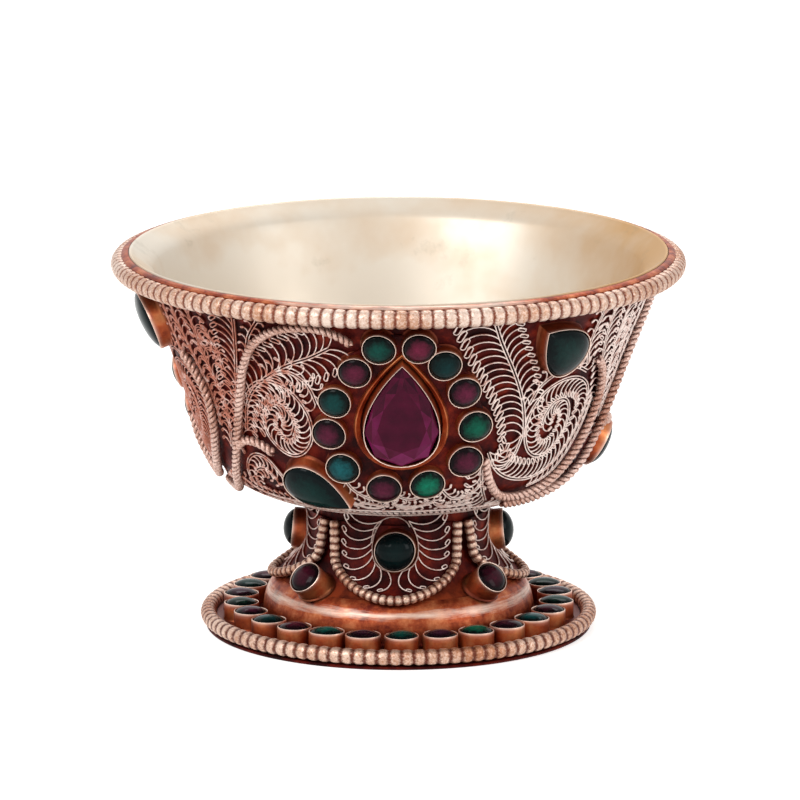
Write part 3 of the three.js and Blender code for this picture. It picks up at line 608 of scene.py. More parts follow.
rim_route = paths([circle(rim_centre, rim_height)], closed=True)
rim = rolled_wire("rim_beads", rim_route, RIM_BEADS, RIM_BEAD_RADIUS, RIM_GROOVES, washed_bead)
settle(rim, "washed_wire", "rim_bead_wire")


# The wire-work of the wall
# Fine copper wire, twisted, flattened and washed with silver, bent into double stems with rows of curls that
# end in small eyes, and soldered on edge to the shell. It repeats in thirds between the medallions.
THIRD = 120
THIRDS = [(1, 0), (2, THIRD), (3, 2 * THIRD)]
UNROLLED_RADIUS = 42.0
WIRE_RADIUS = 0.125
WALL_WIRES = {"Spacing": 1.6, "Stem Gap": 0.5, "Low Lift": -0.38, "High Lift": -0.14}
FINE_WASH = "#F8E4DB"
FINE_WASH_COPPER = "#BC745E"
# The colour of the wire's lower layer: painted shade on its side.
FINE_WIRE_PAINTED_SHADE = "#6A2A1E"


def curl_line(spread, bend, eye, eye_length, points=9):
    """One curl a metre long: it leaves its stem at a spread, bends over and ends in an eye of some size."""
    heading, place, line = spread, np.zeros(2), [np.zeros(2)]
    moves = [(1 / points, bend * (0.6 + 0.8 * i / points) / points) for i in range(points)]
    round_end = [(eye * math.sin(math.pi / 8), math.pi / 4)] * 4
    moves += round_end + [(eye_length, 0)] + round_end + [(0.9 * eye_length, 0.1)]
    for step, turn in moves:
        heading += turn
        place = place + step * np.array([math.cos(heading), math.sin(heading)])
        line.append(place)
    return [(x / MM, y / MM, 0) for x, y in line]


# The tree for the wire-work: a double stem along each route, a curl on each side at even spaces, all drawn
# flat, then wrapped round a spun face and given a round section, in two layers that make one tall wire.
STEM_STEP = 0.7 * MM
SHORTEST_CURL = 0.5 * MM
FINE_WIRE_SIDES = 5
curled_wire, given = new_tree(
    "curled wire",
    Object=["Curl", "Face"],
    Float=["Spacing", "Stem Gap", "Wire Radius", "Low Lift", "High Lift", "Unrolled Radius"],
)
tree = curled_wire
raw = add(tree, "GeometryNodeMeshToCurve", [given["Geometry"]])
bent = add(tree, "GeometryNodeCurveSplineType", {"Curve": raw}, spline_type="CATMULL_ROM")
stem_line = add(tree, "GeometryNodeResampleCurve", {"Curve": bent, "Length": STEM_STEP}, mode="LENGTH")
tangent = add(tree, "GeometryNodeInputTangent")
up = add(tree, "FunctionNodeInputVector")
up.vector = (0, 0, 1)
sideways = add(tree, "ShaderNodeVectorMath", [up, tangent], operation="CROSS_PRODUCT")
spots = add(tree, "GeometryNodeResampleCurve", {"Curve": bent, "Length": given["Spacing"]}, mode="LENGTH")
ahead = add(tree, "FunctionNodeAlignRotationToVector", {"Vector": tangent}, axis="X", pivot_axis="Z")
curl_shape = add(tree, "GeometryNodeObjectInfo", {"Object": given["Curl"]})
curl_curve = add(tree, "GeometryNodeMeshToCurve", [curl_shape.outputs["Geometry"]])
strands, rows = [], []
for side, label in ((1, "left curl"), (-1, "right curl")):
    half_gap = add(tree, "ShaderNodeMath", [given["Stem Gap"], side / 2], operation="MULTIPLY")
    shift = add(tree, "ShaderNodeVectorMath", [sideways, half_gap], operation="SCALE")
    strands.append(add(tree, "GeometryNodeSetPosition", {"Geometry": stem_line, "Offset": shift}))
    length = add(tree, "GeometryNodeInputNamedAttribute", {"Name": label})
    wanted = add(tree, "FunctionNodeCompare", [length, SHORTEST_CURL])
    mirrored = add(tree, "ShaderNodeMath", [length, side], operation="MULTIPLY")
    size = add(tree, "ShaderNodeCombineXYZ", [length, mirrored, 1.0])
    moved = add(tree, "GeometryNodeSetPosition", {"Geometry": spots, "Offset": shift})
    curls = add(
        tree,
        "GeometryNodeInstanceOnPoints",
        {"Points": moved, "Selection": wanted, "Instance": curl_curve, "Rotation": ahead, "Scale": size},
    )
    rows.append(add(tree, "GeometryNodeRealizeInstances", [curls]))
flat = add(tree, "GeometryNodeJoinGeometry")
for lines in strands + rows:
    feed(flat, [lines])
face_shape = add(tree, "GeometryNodeObjectInfo", {"Object": given["Face"]})
face_curve = add(tree, "GeometryNodeMeshToCurve", [face_shape.outputs["Geometry"]])
place = add(tree, "GeometryNodeInputPosition")
flat_place = add(tree, "ShaderNodeSeparateXYZ", [place])
on_face = add(
    tree,
    "GeometryNodeSampleCurve",
    {"Curves": face_curve, "Length": flat_place.outputs["Y"]},
    mode="LENGTH",
    use_all_curves=True,
)
azimuth = add(tree, "ShaderNodeMath", [flat_place.outputs["X"], given["Unrolled Radius"]], operation="DIVIDE")
face_place = add(tree, "ShaderNodeSeparateXYZ", [on_face.outputs["Position"]])
face_way = add(tree, "ShaderNodeSeparateXYZ", [on_face.outputs["Tangent"]])
sine = add(tree, "ShaderNodeMath", [azimuth], operation="SINE")
cosine = add(tree, "ShaderNodeMath", [azimuth], operation="COSINE")
layers = add(tree, "GeometryNodeJoinGeometry")
for lift in ("Low Lift", "High Lift"):
    radius = add(
        tree,
        "ShaderNodeMath",
        [face_way.outputs["Z"], given[lift], face_place.outputs["X"]],
        operation="MULTIPLY_ADD",
    )
    fall = add(tree, "ShaderNodeMath", [face_way.outputs["X"], given[lift]], operation="MULTIPLY")
    height = add(tree, "ShaderNodeMath", [face_place.outputs["Z"], fall], operation="SUBTRACT")
    x = add(tree, "ShaderNodeMath", [radius, sine], operation="MULTIPLY")
    y = add(tree, "ShaderNodeMath", [radius, cosine], operation="MULTIPLY")
    back = add(tree, "ShaderNodeMath", [y, -1.0], operation="MULTIPLY")
    wrapped = add(tree, "ShaderNodeCombineXYZ", [x, back, height])
    laid = add(tree, "GeometryNodeSetPosition", {"Geometry": flat, "Position": wrapped})
    wire = round_wire(tree, laid, FINE_WIRE_SIDES, given["Wire Radius"])
    # The lower layer is marked for painted shade on the wire's side.
    shade_mark = {"Geometry": wire, "Name": "shade", "Value": 1.0 if lift == "Low Lift" else 0.0}
    feed(layers, [add(tree, "GeometryNodeStoreNamedAttribute", shade_mark)])
close_tree(tree, layers, given["Material"])

# Twisted copper wire with a silver wash: pale pink-silver with copper showing where the wash has worn, and
# the roughness of a twist too fine to draw, shown as a bump a little coarser than life. Towards the left the
# copper shows more as painted shade, and the lower of the two layers is painted dark as the wire's shaded
# side.
satin = {"Metallic": 0.5, "Roughness": 0.4}
washed_wire, tree, shader, where = material_of("silver-washed twisted wire", satin)
worn = add(tree, "ShaderNodeTexNoise", [where, 1 / (1.6 * MM), 4, 0.65])
apart = add(tree, "ShaderNodeSeparateXYZ", [where])
# Painted shade: more copper colour towards the left of the bowl.
painted_shade_to_left = add(tree, "ShaderNodeMapRange", [apart.outputs["X"], -8 * MM, -34 * MM, 0, 0.28])
wear_and_shade = add(tree, "ShaderNodeMath", [worn, painted_shade_to_left], operation="ADD")
wear_and_shade_share = add(tree, "ShaderNodeMapRange", [wear_and_shade, 0.5, 0.75])
wire_colour = add(tree, "ShaderNodeMix", [wear_and_shade_share, FINE_WASH, FINE_WASH_COPPER], data_type="RGBA")
# Painted shade on the lower layer of the wire.
shade = add(tree, "ShaderNodeAttribute", attribute_name="shade").outputs["Fac"]
shaded = add(tree, "ShaderNodeMix", [shade, wire_colour, FINE_WIRE_PAINTED_SHADE], data_type="RGBA")
twist = add(tree, "ShaderNodeTexNoise", [where, 1 / (0.35 * MM), 2])
bump = add(tree, "ShaderNodeBump", {"Strength": 0.5, "Distance": 0.08 * MM, "Height": twist})
feed(shader, {"Base Color": shaded, "Normal": bump})

# Each stem is its route up and round the wall, in degrees from its medallion and millimetres up the wall,
# and the length of the curls on its left and on its right.
STEMS = [
    (
        [(35.8, 46), (35, 49), (33.6, 52.5), (31.5, 56), (29, 59.5), (26.3, 63), (23.8, 66.5), (21.8, 70)],
        (7.0, 8.3), 5.4,
    ),
    ([(35.2, 46.5), (34, 43), (31.6, 40.4)], 0, (5.6, 4.6)),
    (
        [(25.3, 43.8), (27.5, 41), (31, 38.8), (36, 37.4), (42, 37), (48, 38.3), (53, 41.2), (57, 45.5),
         (58.6, 50), (56.5, 53.8), (51.5, 56), (45.5, 56.3), (40, 54.6), (36.6, 51), (36, 47), (38, 43.4),
         (42, 41.6), (46.5, 42.2), (50.2, 44.8), (51.3, 48.6), (49, 51.8), (45, 52.3), (42, 50.2),
         (41.5, 47.6)],
        (5.4, 3.2), 0,
    ),
    ([(35.5, 52.5), (38, 56), (43, 58.2), (48.5, 58.6), (54, 57)], 2.8, 0),
    ([(24, 42), (24.5, 38.5), (26.5, 35), (29.5, 31.8)], 0, (4.0, 5.0)),
    ([(53.5, 58.5), (52, 61.5), (51.8, 65), (53, 70)], 2.4, 4.4),
    ([(63.5, 46), (63.8, 50), (62, 55), (59.5, 60), (57.8, 65), (57.5, 70)], 3.6, 4.4),
    ([(66, 42), (68, 47), (68.5, 52), (66.5, 57), (65, 62), (64.8, 70)], 3.4, 4.6),
    ([(71.5, 46), (73.2, 50), (75, 54.5), (76.8, 59), (78.8, 64), (80.6, 69.5)], (5.4, 6.6), 0),
    ([(72, 58), (71.5, 62), (69.5, 65), (66.5, 65.6), (65.6, 63), (67.5, 61.4)], 2.4, 2.2),
    (
        [(75, 46.5), (77, 51), (80, 54.3), (84, 57), (89, 59.6), (94, 61.6), (99, 63.2), (104, 65.4)],
        (4.4, 8.2), (5.6, 6.2),
    ),
    ([(86, 58), (90, 59.6), (94, 59.4), (97.4, 57.2), (99, 53.8)], 3.2, 3.0),
    ([(81.5, 62), (83.5, 66), (87, 69.5)], 2.0, 1.5),
    ([(43, 34.8), (50, 36.6), (55.5, 40.6), (59.6, 46), (61, 51)], 2.6, 0),
    (
        [(72.2, 43.5), (73, 47.5), (75.5, 51.8), (79.5, 55.3), (84.5, 57.2), (90, 56.8), (94, 54.3),
         (96.5, 50.5), (96.3, 46.6), (93.5, 43.8), (89.5, 42.8), (85.5, 44), (82.5, 46.8), (82.8, 50.5),
         (86, 53), (90, 52.3), (91.8, 49.5), (90.5, 47)],
        0, (5.2, 3.0),
    ),
    ([(69.5, 34), (70, 37.5), (72.5, 40.4), (76.5, 41.8), (80.5, 41), (84, 38)], 0, (2.4, 3.4)),
    ([(71.5, 33.5), (72.4, 36.5), (75, 38.6), (78.5, 38.8), (81.5, 36.8)], 0, 2.2),
    ([(64, 35.5), (68, 32.5), (74, 31), (81, 30.4), (87, 30)], 3.0, 3.0),
    ([(103.5, 40), (106.5, 36.5), (111, 34.2), (116, 33.4)], 2.6, 2.6),
    ([(105, 33), (109, 30.6), (113.5, 30.6), (117, 33.6)], 0, 0),
    ([(118, 34), (120, 31), (125, 30.4), (129.5, 33.8)], 0, 0),
    ([(130.5, 33.6), (134, 30.8), (139, 30.8), (143, 34.4)], 2.4, 0),
    ([(31, 30), (40, 29.6), (50, 31), (59, 33.6)], 2.8, 2.8),
    ([(118.5, 36.5), (121, 34.6), (125, 34.2), (128.5, 36)], 1.8, 1.8),
    ([(118, 32.6), (122, 31.4), (127, 31.4), (131, 33)], 2.2, 2.2),
    ([(133, 36.4), (137, 33.8), (142, 34.4), (145.5, 38)], 2.4, 2.4),
    ([(133, 31.6), (138, 30.6), (144, 31.4)], 2.0, 2.0),
    ([(105, 31.4), (110, 32.4), (115, 31.2)], 1.8, 1.8),
]
# Two level wires run under the stems all the way round: how far up the wall, and the length of their curls.
UNDER_STEMS = ((23.5, 4.4), (28.6, 0))
UNDER_STEM_STEP = 6
CURL_SPREAD = math.radians(22)
CURL_BEND = math.radians(118)
WALL_EYE = (0.125, 0.18)

wall_curl = paths([curl_line(CURL_SPREAD, CURL_BEND, *WALL_EYE)])
wall_line = paths([[(r, 0, z) for r, z in wall_face.points]])


def unrolled(azimuth, arc):
    """A place of the wall, in degrees round and millimetres up, on the flat sheet with the curls."""
    return math.radians(azimuth) * UNROLLED_RADIUS, arc, 0


def wire_work(name, source, curl, face, unrolled_radius, wires):
    """Curled wires along flat routes, wrapped round a spun face. The sizes are in millimetres."""
    sizes = {**wires, "Wire Radius": WIRE_RADIUS, "Unrolled Radius": unrolled_radius}
    values = {label: size * MM for label, size in sizes.items()}
    return grown(name, source, curled_wire, {"Curl": curl, "Face": face, "Material": washed_wire, **values})


for number, turn in THIRDS:
    routes = [[unrolled(azimuth + turn, arc) for azimuth, arc in route] for route, _, _ in STEMS]
    curls = [(left, right) for _, left, right in STEMS]
    for arc, curl in UNDER_STEMS:
        level = range(0, THIRD + 1, UNDER_STEM_STEP)
        routes.append([unrolled(azimuth + turn, arc) for azimuth in level])
        curls.append((curl, curl))
    name, source = f"filigree_wires_{number}", paths(routes, curls=curls)
    wires = wire_work(name, source, wall_curl, wall_line, UNROLLED_RADIUS, WALL_WIRES)
    settle(wires, "washed_wire", f"filigree_panel_{number}")
bpy.data.objects.remove(wall_curl)


# The medallions' plates
# Three oval plates of dark copper sheet, bent to the wall and soldered into gaps in the wire-work. Each
# carries a ring of small stones and the large teardrop.
MEDALLION_AZIMUTH = 0.8
MEDALLION_ARC = 52.9
PLATE_UNDER = -0.55
PLATE_OVER = 0.1
PLATE_REACH = 2.9
PLATE_DIP = 1.3
PLATE_STEPS = 96
GROUND_TRIES = 12
# The cups in their order round the front medallion: degrees from the front, millimetres up the wall, whether
# the stone is green, how much it glows and how blue it is.
MEDALLION_CUPS = [
    (15.8, 57.2, False, 0.6, 0.3), (10.5, 63.0, True, 0.05, 0.9), (4.5, 66.7, False, 0.8, 0.0),
    (-4.3, 66.5, True, 0.25, 0.5), (-10.0, 61.5, False, 0.5, 0.2), (-15.5, 55.2, True, 0.2, 0.8),
    (-17.8, 48.8, False, 0.4, 0.3), (-15.0, 42.0, True, 0.7, 1.0), (-4.0, 38.2, False, 0.4, 0.3),
    (8.0, 39.0, True, 0.85, 0.1), (18.0, 43.3, False, 0.4, 0.3), (19.5, 50.2, True, 0.45, 0.15),
]


class Bench:
    """A level place on a spun face: x runs round it, y up it and z out of it, in millimetres."""

    def __init__(self, face, azimuth, arc, lean_back=0.0):
        across, rise = (np.interp(arc, face.lengths, face.normals[:, i]) for i in (0, 1))
        outward = Vector((math.sin(azimuth), -math.cos(azimuth), 0))
        self.face = face
        self.middle = face.on(azimuth, arc)
        self.right = Vector((math.cos(azimuth), math.sin(azimuth), 0))
        turn = Matrix.Rotation(-lean_back, 3, self.right)
        self.out = turn @ (outward * across + Vector((0, 0, rise)))
        self.up = turn @ (outward * -rise + Vector((0, 0, across)))

    def at(self, x, y, z):
        """The place in space of a place of the bench."""
        return self.middle + self.right * x + self.up * y + self.out * z

    def ground(self, x, y, lift=0.0):
        """How far out the face is, plus a lift, over a place of the bench."""
        z = 0.0
        for _ in range(GROUND_TRIES):
            place = self.at(x, y, z)
            z += 0.8 * (lift - self.face.distance(math.hypot(place.x, place.y), place.z))
        return z

    def on_ground(self, x, y, lift=0.0):
        """The place in space on the face, plus a lift, over a place of the bench."""
        return self.at(x, y, self.ground(x, y, lift))

    def turn(self):
        """The turn that stands a template on this bench, as Euler angles."""
        return Matrix((self.right, self.up, self.out)).transposed().to_euler()


def round_the_cups(bench, places, count):
    """An outline just past a ring of cups, anticlockwise, that dips between one cup and the next."""
    away = [place - bench.middle for place in places]
    flat = [(way.dot(bench.right), way.dot(bench.up)) for way in away]
    cups = sorted((math.atan2(y, x), math.hypot(x, y)) for x, y in flat)
    cups = [(cups[-1][0] - 2 * math.pi, cups[-1][1]), *cups, (cups[0][0] + 2 * math.pi, cups[0][1])]
    angles, reaches = zip(*cups)
    outline = []
    for step in range(count):
        angle = -math.pi + 2 * math.pi * step / count
        between = math.sin(math.pi * np.interp(angle, angles, range(len(cups)))) ** 2
        reach = np.interp(angle, angles, reaches) + PLATE_REACH - PLATE_DIP * between
        outline.append((reach * math.cos(angle), reach * math.sin(angle)))
    return outline


def lofted(rings, root=None, crown=None):
    """Vertices and faces of a body through rings of points. Without a root and crown its ends are joined."""
    count = len(rings[0])
    vertices = [point for ring in rings for point in ring]
    faces = []
    last = len(rings) - (1 if crown is not None else 0)
    for row in range(last):
        for step in range(count):
            near, far = step, (step + 1) % count
            low, high = row * count, (row + 1) % len(rings) * count
            faces.append((low + near, low + far, high + far, high + near))
    if crown is not None:
        vertices += [root, crown]
        top = (len(rings) - 1) * count
        for step in range(count):
            nxt = (step + 1) % count
            faces.append((nxt, step, len(vertices) - 2))
            faces.append((top + step, top + nxt, len(vertices) - 1))
    return vertices, faces


for number, turn in THIRDS:
    bench = Bench(wall_face, math.radians(MEDALLION_AZIMUTH + turn), MEDALLION_ARC)
    places = [wall_face.on(math.radians(azimuth + turn), arc) for azimuth, arc, *_ in MEDALLION_CUPS]
    outline = round_the_cups(bench, places, PLATE_STEPS)
    rings = []
    for share, lift in (
        [(s, PLATE_UNDER) for s in (0.3, 0.6, 0.85, 1)] + [(1, -0.12), (0.985, PLATE_OVER)]
        + [(s, PLATE_OVER) for s in (0.9, 0.75, 0.6, 0.45, 0.3, 0.15)]
    ):
        rings.append([bench.on_ground(x * share, y * share, lift) for x, y in outline])
    root, crown = bench.on_ground(0, 0, PLATE_UNDER), bench.on_ground(0, 0, PLATE_OVER)
    plate = mesh_piece(f"medallion_plate_{number}", *lofted(rings, root, crown), dark_copper)
    settle(plate, "dark_copper", f"medallion_setting_{number}")


# The medallions' small cups and their stones
# Short tubes of copper strip soldered to the plate, with thin rims filed bright and a little out of round, a
# painted highlight on each rim and painted shade at each foot. Each holds a domed glass stone, and red and
# green ones take turns.
CUP_RADIUS = 3.2
CUP_HEIGHT = 1.4
CUP_STONE_DOME = 0.9
CUP_SUNK = 0.5
CUP_SIDES = 22
CUP_PHASE = 0.7
HAMMER_DENTS = (0.022, 0.012)
STONE_INSET = 0.27
STONE_DEPTH = 0.9
STONE_GIRDLE = 0.3
DOME_SHARES = (0.94, 0.84, 0.7, 0.53, 0.34, 0.16)
DOME_ROUNDNESS = 0.6
SIZE_SPREAD = 0.05
STONE_EDGE_RED = "#12080C"
STONE_RED = "#8A2A4A"
STONE_COOL_RED = "#642C50"
STONE_EDGE_GREEN = "#06100F"
STONE_GREEN = "#12906A"
STONE_TEAL = "#22767C"
HANDLED_GLASS = {"Roughness": 0.12, "Specular IOR Level": 0.3, "IOR": 1.22}


def cup_rings(outline, seat, top):
    """A bezel's rings of points, from its solder, up its outside, over its rim and down its inside.

    Its outline is a function of an inset, and its seat a function that sets a point on the ground. A step
    has its inset, its level or else its height over the ground, and its painted light: above zero a painted
    highlight on the filed rim, below zero painted shade at the foot and inside.
    """
    # The last number of each step is painted light: a highlight on the rim, shade at the foot and inside.
    steps = [
        (-0.4, None, 0.0, -1), (-0.12, None, 0.22, -0.9), (0.0, None, 0.6, -0.3), (0.0, top - 0.5, 0, 0.1),
        (0.02, top - 0.12, 0, 0.5), (0.05, top - 0.03, 0, 1), (0.11, top, 0, 1), (0.17, top - 0.03, 0, 1),
        (0.22, top - 0.12, 0, 0.3), (0.24, top - 0.7, 0, -1), (0.24, None, 0.1, -1),
    ]
    rings, edges = [], []
    for inset, height, over_ground, painted_light in steps:
        ring = outline(inset)
        rings.append([seat(x, y, height, over_ground) for x, y in ring])
        edges += [painted_light] * len(ring)
    return rings, edges


def dome_rings(outline, seat, top, dome):
    """A domed stone's rings from its flat back to near its crown, and how near its middle each point is."""
    rings, middles = [], []
    girdle = top - STONE_GIRDLE
    for height in (top - STONE_DEPTH, girdle):
        rings.append([seat(x, y, height, 0) for x, y in outline])
        middles += [0.0] * len(outline)
    for share in DOME_SHARES:
        height = girdle + (dome + STONE_GIRDLE) * (1 - share**2) ** DOME_ROUNDNESS
        rings.append([seat(x * share, y * share, height, 0) for x, y in outline])
        middles += [1 - share**2] * len(outline)
    return rings, middles


def hammered(radius, count, inset, phase):
    """A circle that the hammer has left a little out of round."""
    outline = []
    for step in range(count):
        angle = 2 * math.pi * step / count
        dents = HAMMER_DENTS[0] * math.sin(2 * angle + phase) + HAMMER_DENTS[1] * math.sin(3 * angle)
        reach = (radius - inset) * (1 + dents)
        outline.append((reach * math.cos(angle), reach * math.sin(angle)))
    return outline


def flat_seat(x, y, height, over_ground):
    """A point over level ground, in which cups stand a little sunk."""
    return Vector((x, y, over_ground - CUP_SUNK if height is None else height))


def cup_template(radius, height):
    """One cup on level ground, for a tree to repeat."""
    rings, edges = cup_rings(lambda inset: hammered(radius, CUP_SIDES, inset, CUP_PHASE), flat_seat, height)
    template = mesh_piece("cup template", *lofted(rings), rubbed_copper)
    labelled(template.data, "edge", edges)
    return template


def stone_template(radius, height, dome, material):
    """One domed stone in a cup on level ground, for a tree to repeat."""
    outline = hammered(radius, CUP_SIDES, STONE_INSET, CUP_PHASE)
    rings, middles = dome_rings(outline, flat_seat, height, dome)
    root, crown = Vector((0, 0, height - STONE_DEPTH)), Vector((0, 0, height + dome))
    template = mesh_piece("stone template", *lofted(rings, root, crown), material)
    labelled(template.data, "middle", middles + [0, 1])
    return template


# The tree for settings: one template on every bench, turned to suit it, spun on its own axis and made a
# little larger or smaller by chance, because each is made by hand.
settings_tree, given = new_tree("settings", Object=["Template"], Float=["Size Spread"], Int=["Seed"])
tree = settings_tree
stood = add(tree, "GeometryNodeInputNamedAttribute", {"Name": "stand"}, data_type="FLOAT_VECTOR")
own_turn = add(tree, "FunctionNodeRandomValue", {"Min": 0.0, "Max": 2 * math.pi, "Seed": given["Seed"]})
own_spin = add(tree, "FunctionNodeAxisAngleToRotation", [(0, 0, 1), own_turn])
way = add(tree, "FunctionNodeEulerToRotation", [stood])
both = add(tree, "FunctionNodeRotateRotation", [way, own_spin], rotation_space="LOCAL")
smallest = add(tree, "ShaderNodeMath", [1.0, given["Size Spread"]], operation="SUBTRACT")
size = add(tree, "FunctionNodeRandomValue", {"Min": smallest, "Max": 1.0, "Seed": given["Seed"]})
shape = add(tree, "GeometryNodeObjectInfo", {"Object": given["Template"]})
copies = add(
    tree,
    "GeometryNodeInstanceOnPoints",
    {"Points": given["Geometry"], "Instance": shape.outputs["Geometry"], "Rotation": both, "Scale": size},
)
close_tree(tree, copies, given["Material"])


def settings(name, template, stands, material, seed):
    """Copies of a template at stands: each is a place, Euler angles, a glow and a coolness of the stone."""
    mesh = bpy.data.meshes.new("stands")
    mesh.from_pydata([Vector(place) * MM for place, _, _, _ in stands], [], [])
    stand = mesh.attributes.new("stand", "FLOAT_VECTOR", "POINT")
    stand.data.foreach_set("vector", [angle for _, turn, _, _ in stands for angle in turn])
    labelled(mesh, "glow", [glow for _, _, glow, _ in stands])
    labelled(mesh, "cool", [cool for _, _, _, cool in stands])
    values = {"Template": template, "Size Spread": SIZE_SPREAD, "Seed": seed, "Material": material}
    return grown(name, placed("stands", mesh), settings_tree, values)


def stone_material(name, edge_colour, middle_colour, cool_colour, plain_glow):
    """Glass over foil: dark at its edge, where light leaves it sideways, and lit from below in its middle."""
    material, tree, shader, where = material_of(name, HANDLED_GLASS)
    middle = add(tree, "ShaderNodeAttribute", attribute_name="middle").outputs["Fac"]
    glow = add(tree, "ShaderNodeAttribute", attribute_name="glow").outputs["Fac"]
    cool = add(tree, "ShaderNodeAttribute", attribute_name="cool").outputs["Fac"]
    mottle = add(tree, "ShaderNodeTexNoise", [where, 1 / (1.1 * MM), 5, 0.75])
    lit = add(tree, "ShaderNodeMath", [mottle, 1.3, middle], operation="MULTIPLY_ADD")
    lit_share = add(tree, "ShaderNodeMapRange", [lit, 0.95, 1.8])
    strong = add(tree, "ShaderNodeMath", [glow, 1 - plain_glow, plain_glow], operation="MULTIPLY_ADD")
    share = add(tree, "ShaderNodeMath", [lit_share, strong], operation="MULTIPLY")
    heart = add(tree, "ShaderNodeMix", [cool, middle_colour, cool_colour], data_type="RGBA")
    colour = add(tree, "ShaderNodeMix", [share, edge_colour, heart], data_type="RGBA")
    feed(shader, {"Base Color": colour})
    return material


# Polished cabochons of coloured glass over foil: a ruby red and an emerald green.
red_glass = stone_material("red glass cabochon", STONE_EDGE_RED, STONE_RED, STONE_COOL_RED, 0.25)
green_glass = stone_material("green glass cabochon", STONE_EDGE_GREEN, STONE_GREEN, STONE_TEAL, 0.12)

cup_form = cup_template(CUP_RADIUS, CUP_HEIGHT)
red_form = stone_template(CUP_RADIUS, CUP_HEIGHT, CUP_STONE_DOME, red_glass)
green_form = stone_template(CUP_RADIUS, CUP_HEIGHT, CUP_STONE_DOME, green_glass)
for number, turn in THIRDS:
    stands = {False: [], True: []}
    for azimuth, arc, green, glow, cool in MEDALLION_CUPS:
        bench = Bench(wall_face, math.radians(azimuth + turn), arc)
        stands[green].append((bench.at(0, 0, PLATE_OVER), bench.turn(), glow, cool))
    for name, form, chosen, material, slot in (
        (f"medallion_cups_red_{number}", cup_form, stands[False], rubbed_copper, "bright_copper"),
        (f"medallion_cups_green_{number}", cup_form, stands[True], rubbed_copper, "bright_copper"),
        (f"medallion_stones_red_{number}", red_form, stands[False], red_glass, "red_stone"),
        (f"medallion_stones_green_{number}", green_form, stands[True], green_glass, "green_stone"),
    ):
        settle(settings(name, form, chosen, material, number), slot, f"medallion_setting_{number}")
for form in (cup_form, red_form, green_form):
    bpy.data.objects.remove(form)


# The teardrops
# The large faceted red stone of each medallion, in a bezel of copper strip with a thin bright rim, and a
# second low collar of copper round it.
TEARDROP_ARC = 53.5
TEARDROP_WIDTH = 14
TEARDROP_LENGTH = 20.4
TEARDROP_HEIGHT = 2.5
TEARDROP_TABLE_RISE = 1.0
TEARDROP_TONE = 0.4
TEARDROP_FADE = 0.022
TEARDROP_SPARKLE = 0.14
PEAR_TAPER = 0.9
PEAR_FULLNESS = 1.22
OUTLINE_STEPS = 40
COLLAR_OUT = 1.35
COLLAR_HEIGHT = 1.0
TEARDROP_DARK = "#300A1C"
TEARDROP_RED = "#56102E"
TEARDROP_LIGHT = "#82225A"


def pear_outline(width, length, lean, inset, count=OUTLINE_STEPS, shift=0.0):
    """A pear with its point towards the lean angle, anticlockwise."""
    outline = []
    for step in range(count):
        angle = 2 * math.pi * (step + shift) / count
        along = (length / 2 - inset) * math.cos(angle)
        taper = abs(math.sin(angle / 2)) ** PEAR_TAPER
        across = (width / 2 - inset) * math.sin(angle) * taper * PEAR_FULLNESS
        x = along * math.cos(lean) - across * math.sin(lean)
        y = along * math.sin(lean) + across * math.cos(lean)
        outline.append((x, y))
    return outline


def teardrop(inset, count=OUTLINE_STEPS, shift=0.0):
    """The large stone's pear, with its point up."""
    return pear_outline(TEARDROP_WIDTH, TEARDROP_LENGTH, math.pi / 2, inset, count, shift)


def bench_seat(bench, lift):
    """A function that sets a point at a height over the bench, or just over the ground if it has none."""

    def seat(x, y, height, over_ground):
        return bench.at(x, y, bench.ground(x, y, lift + over_ground) if height is None else height)

    return seat


def bezel_top(bench, outline, lift, height):
    """The level of a bezel's rim: its height over the highest ground under the stone."""
    return max(bench.ground(x, y, lift) for x, y in outline(0.55)) + height


def bezel(name, bench, outline, lift, top):
    """A bezel filed to the ground it stands on, with a level rim."""
    rings, edges = cup_rings(outline, bench_seat(bench, lift), top)
    piece = mesh_piece(name, *lofted(rings), rubbed_copper)
    labelled(piece.data, "edge", edges)
    return piece


# A cut gem of ruby-coloured glass: flat facets that each send back a different part of the light.
cut_glass, tree, shader, where = material_of("cut red glass", HANDLED_GLASS)
tone = add(tree, "ShaderNodeAttribute", attribute_name="tone").outputs["Fac"]
cloud = add(tree, "ShaderNodeTexNoise", [where, 1 / (3 * MM), 3])
mixed_tone = add(tree, "ShaderNodeMath", [cloud, 0.5, tone], operation="MULTIPLY_ADD")
ramp = add(tree, "ShaderNodeValToRGB", [mixed_tone])
colour_stops(ramp, {0.3: TEARDROP_DARK, 0.65: TEARDROP_RED, 1.0: TEARDROP_LIGHT})
feed(shader, {"Base Color": ramp})

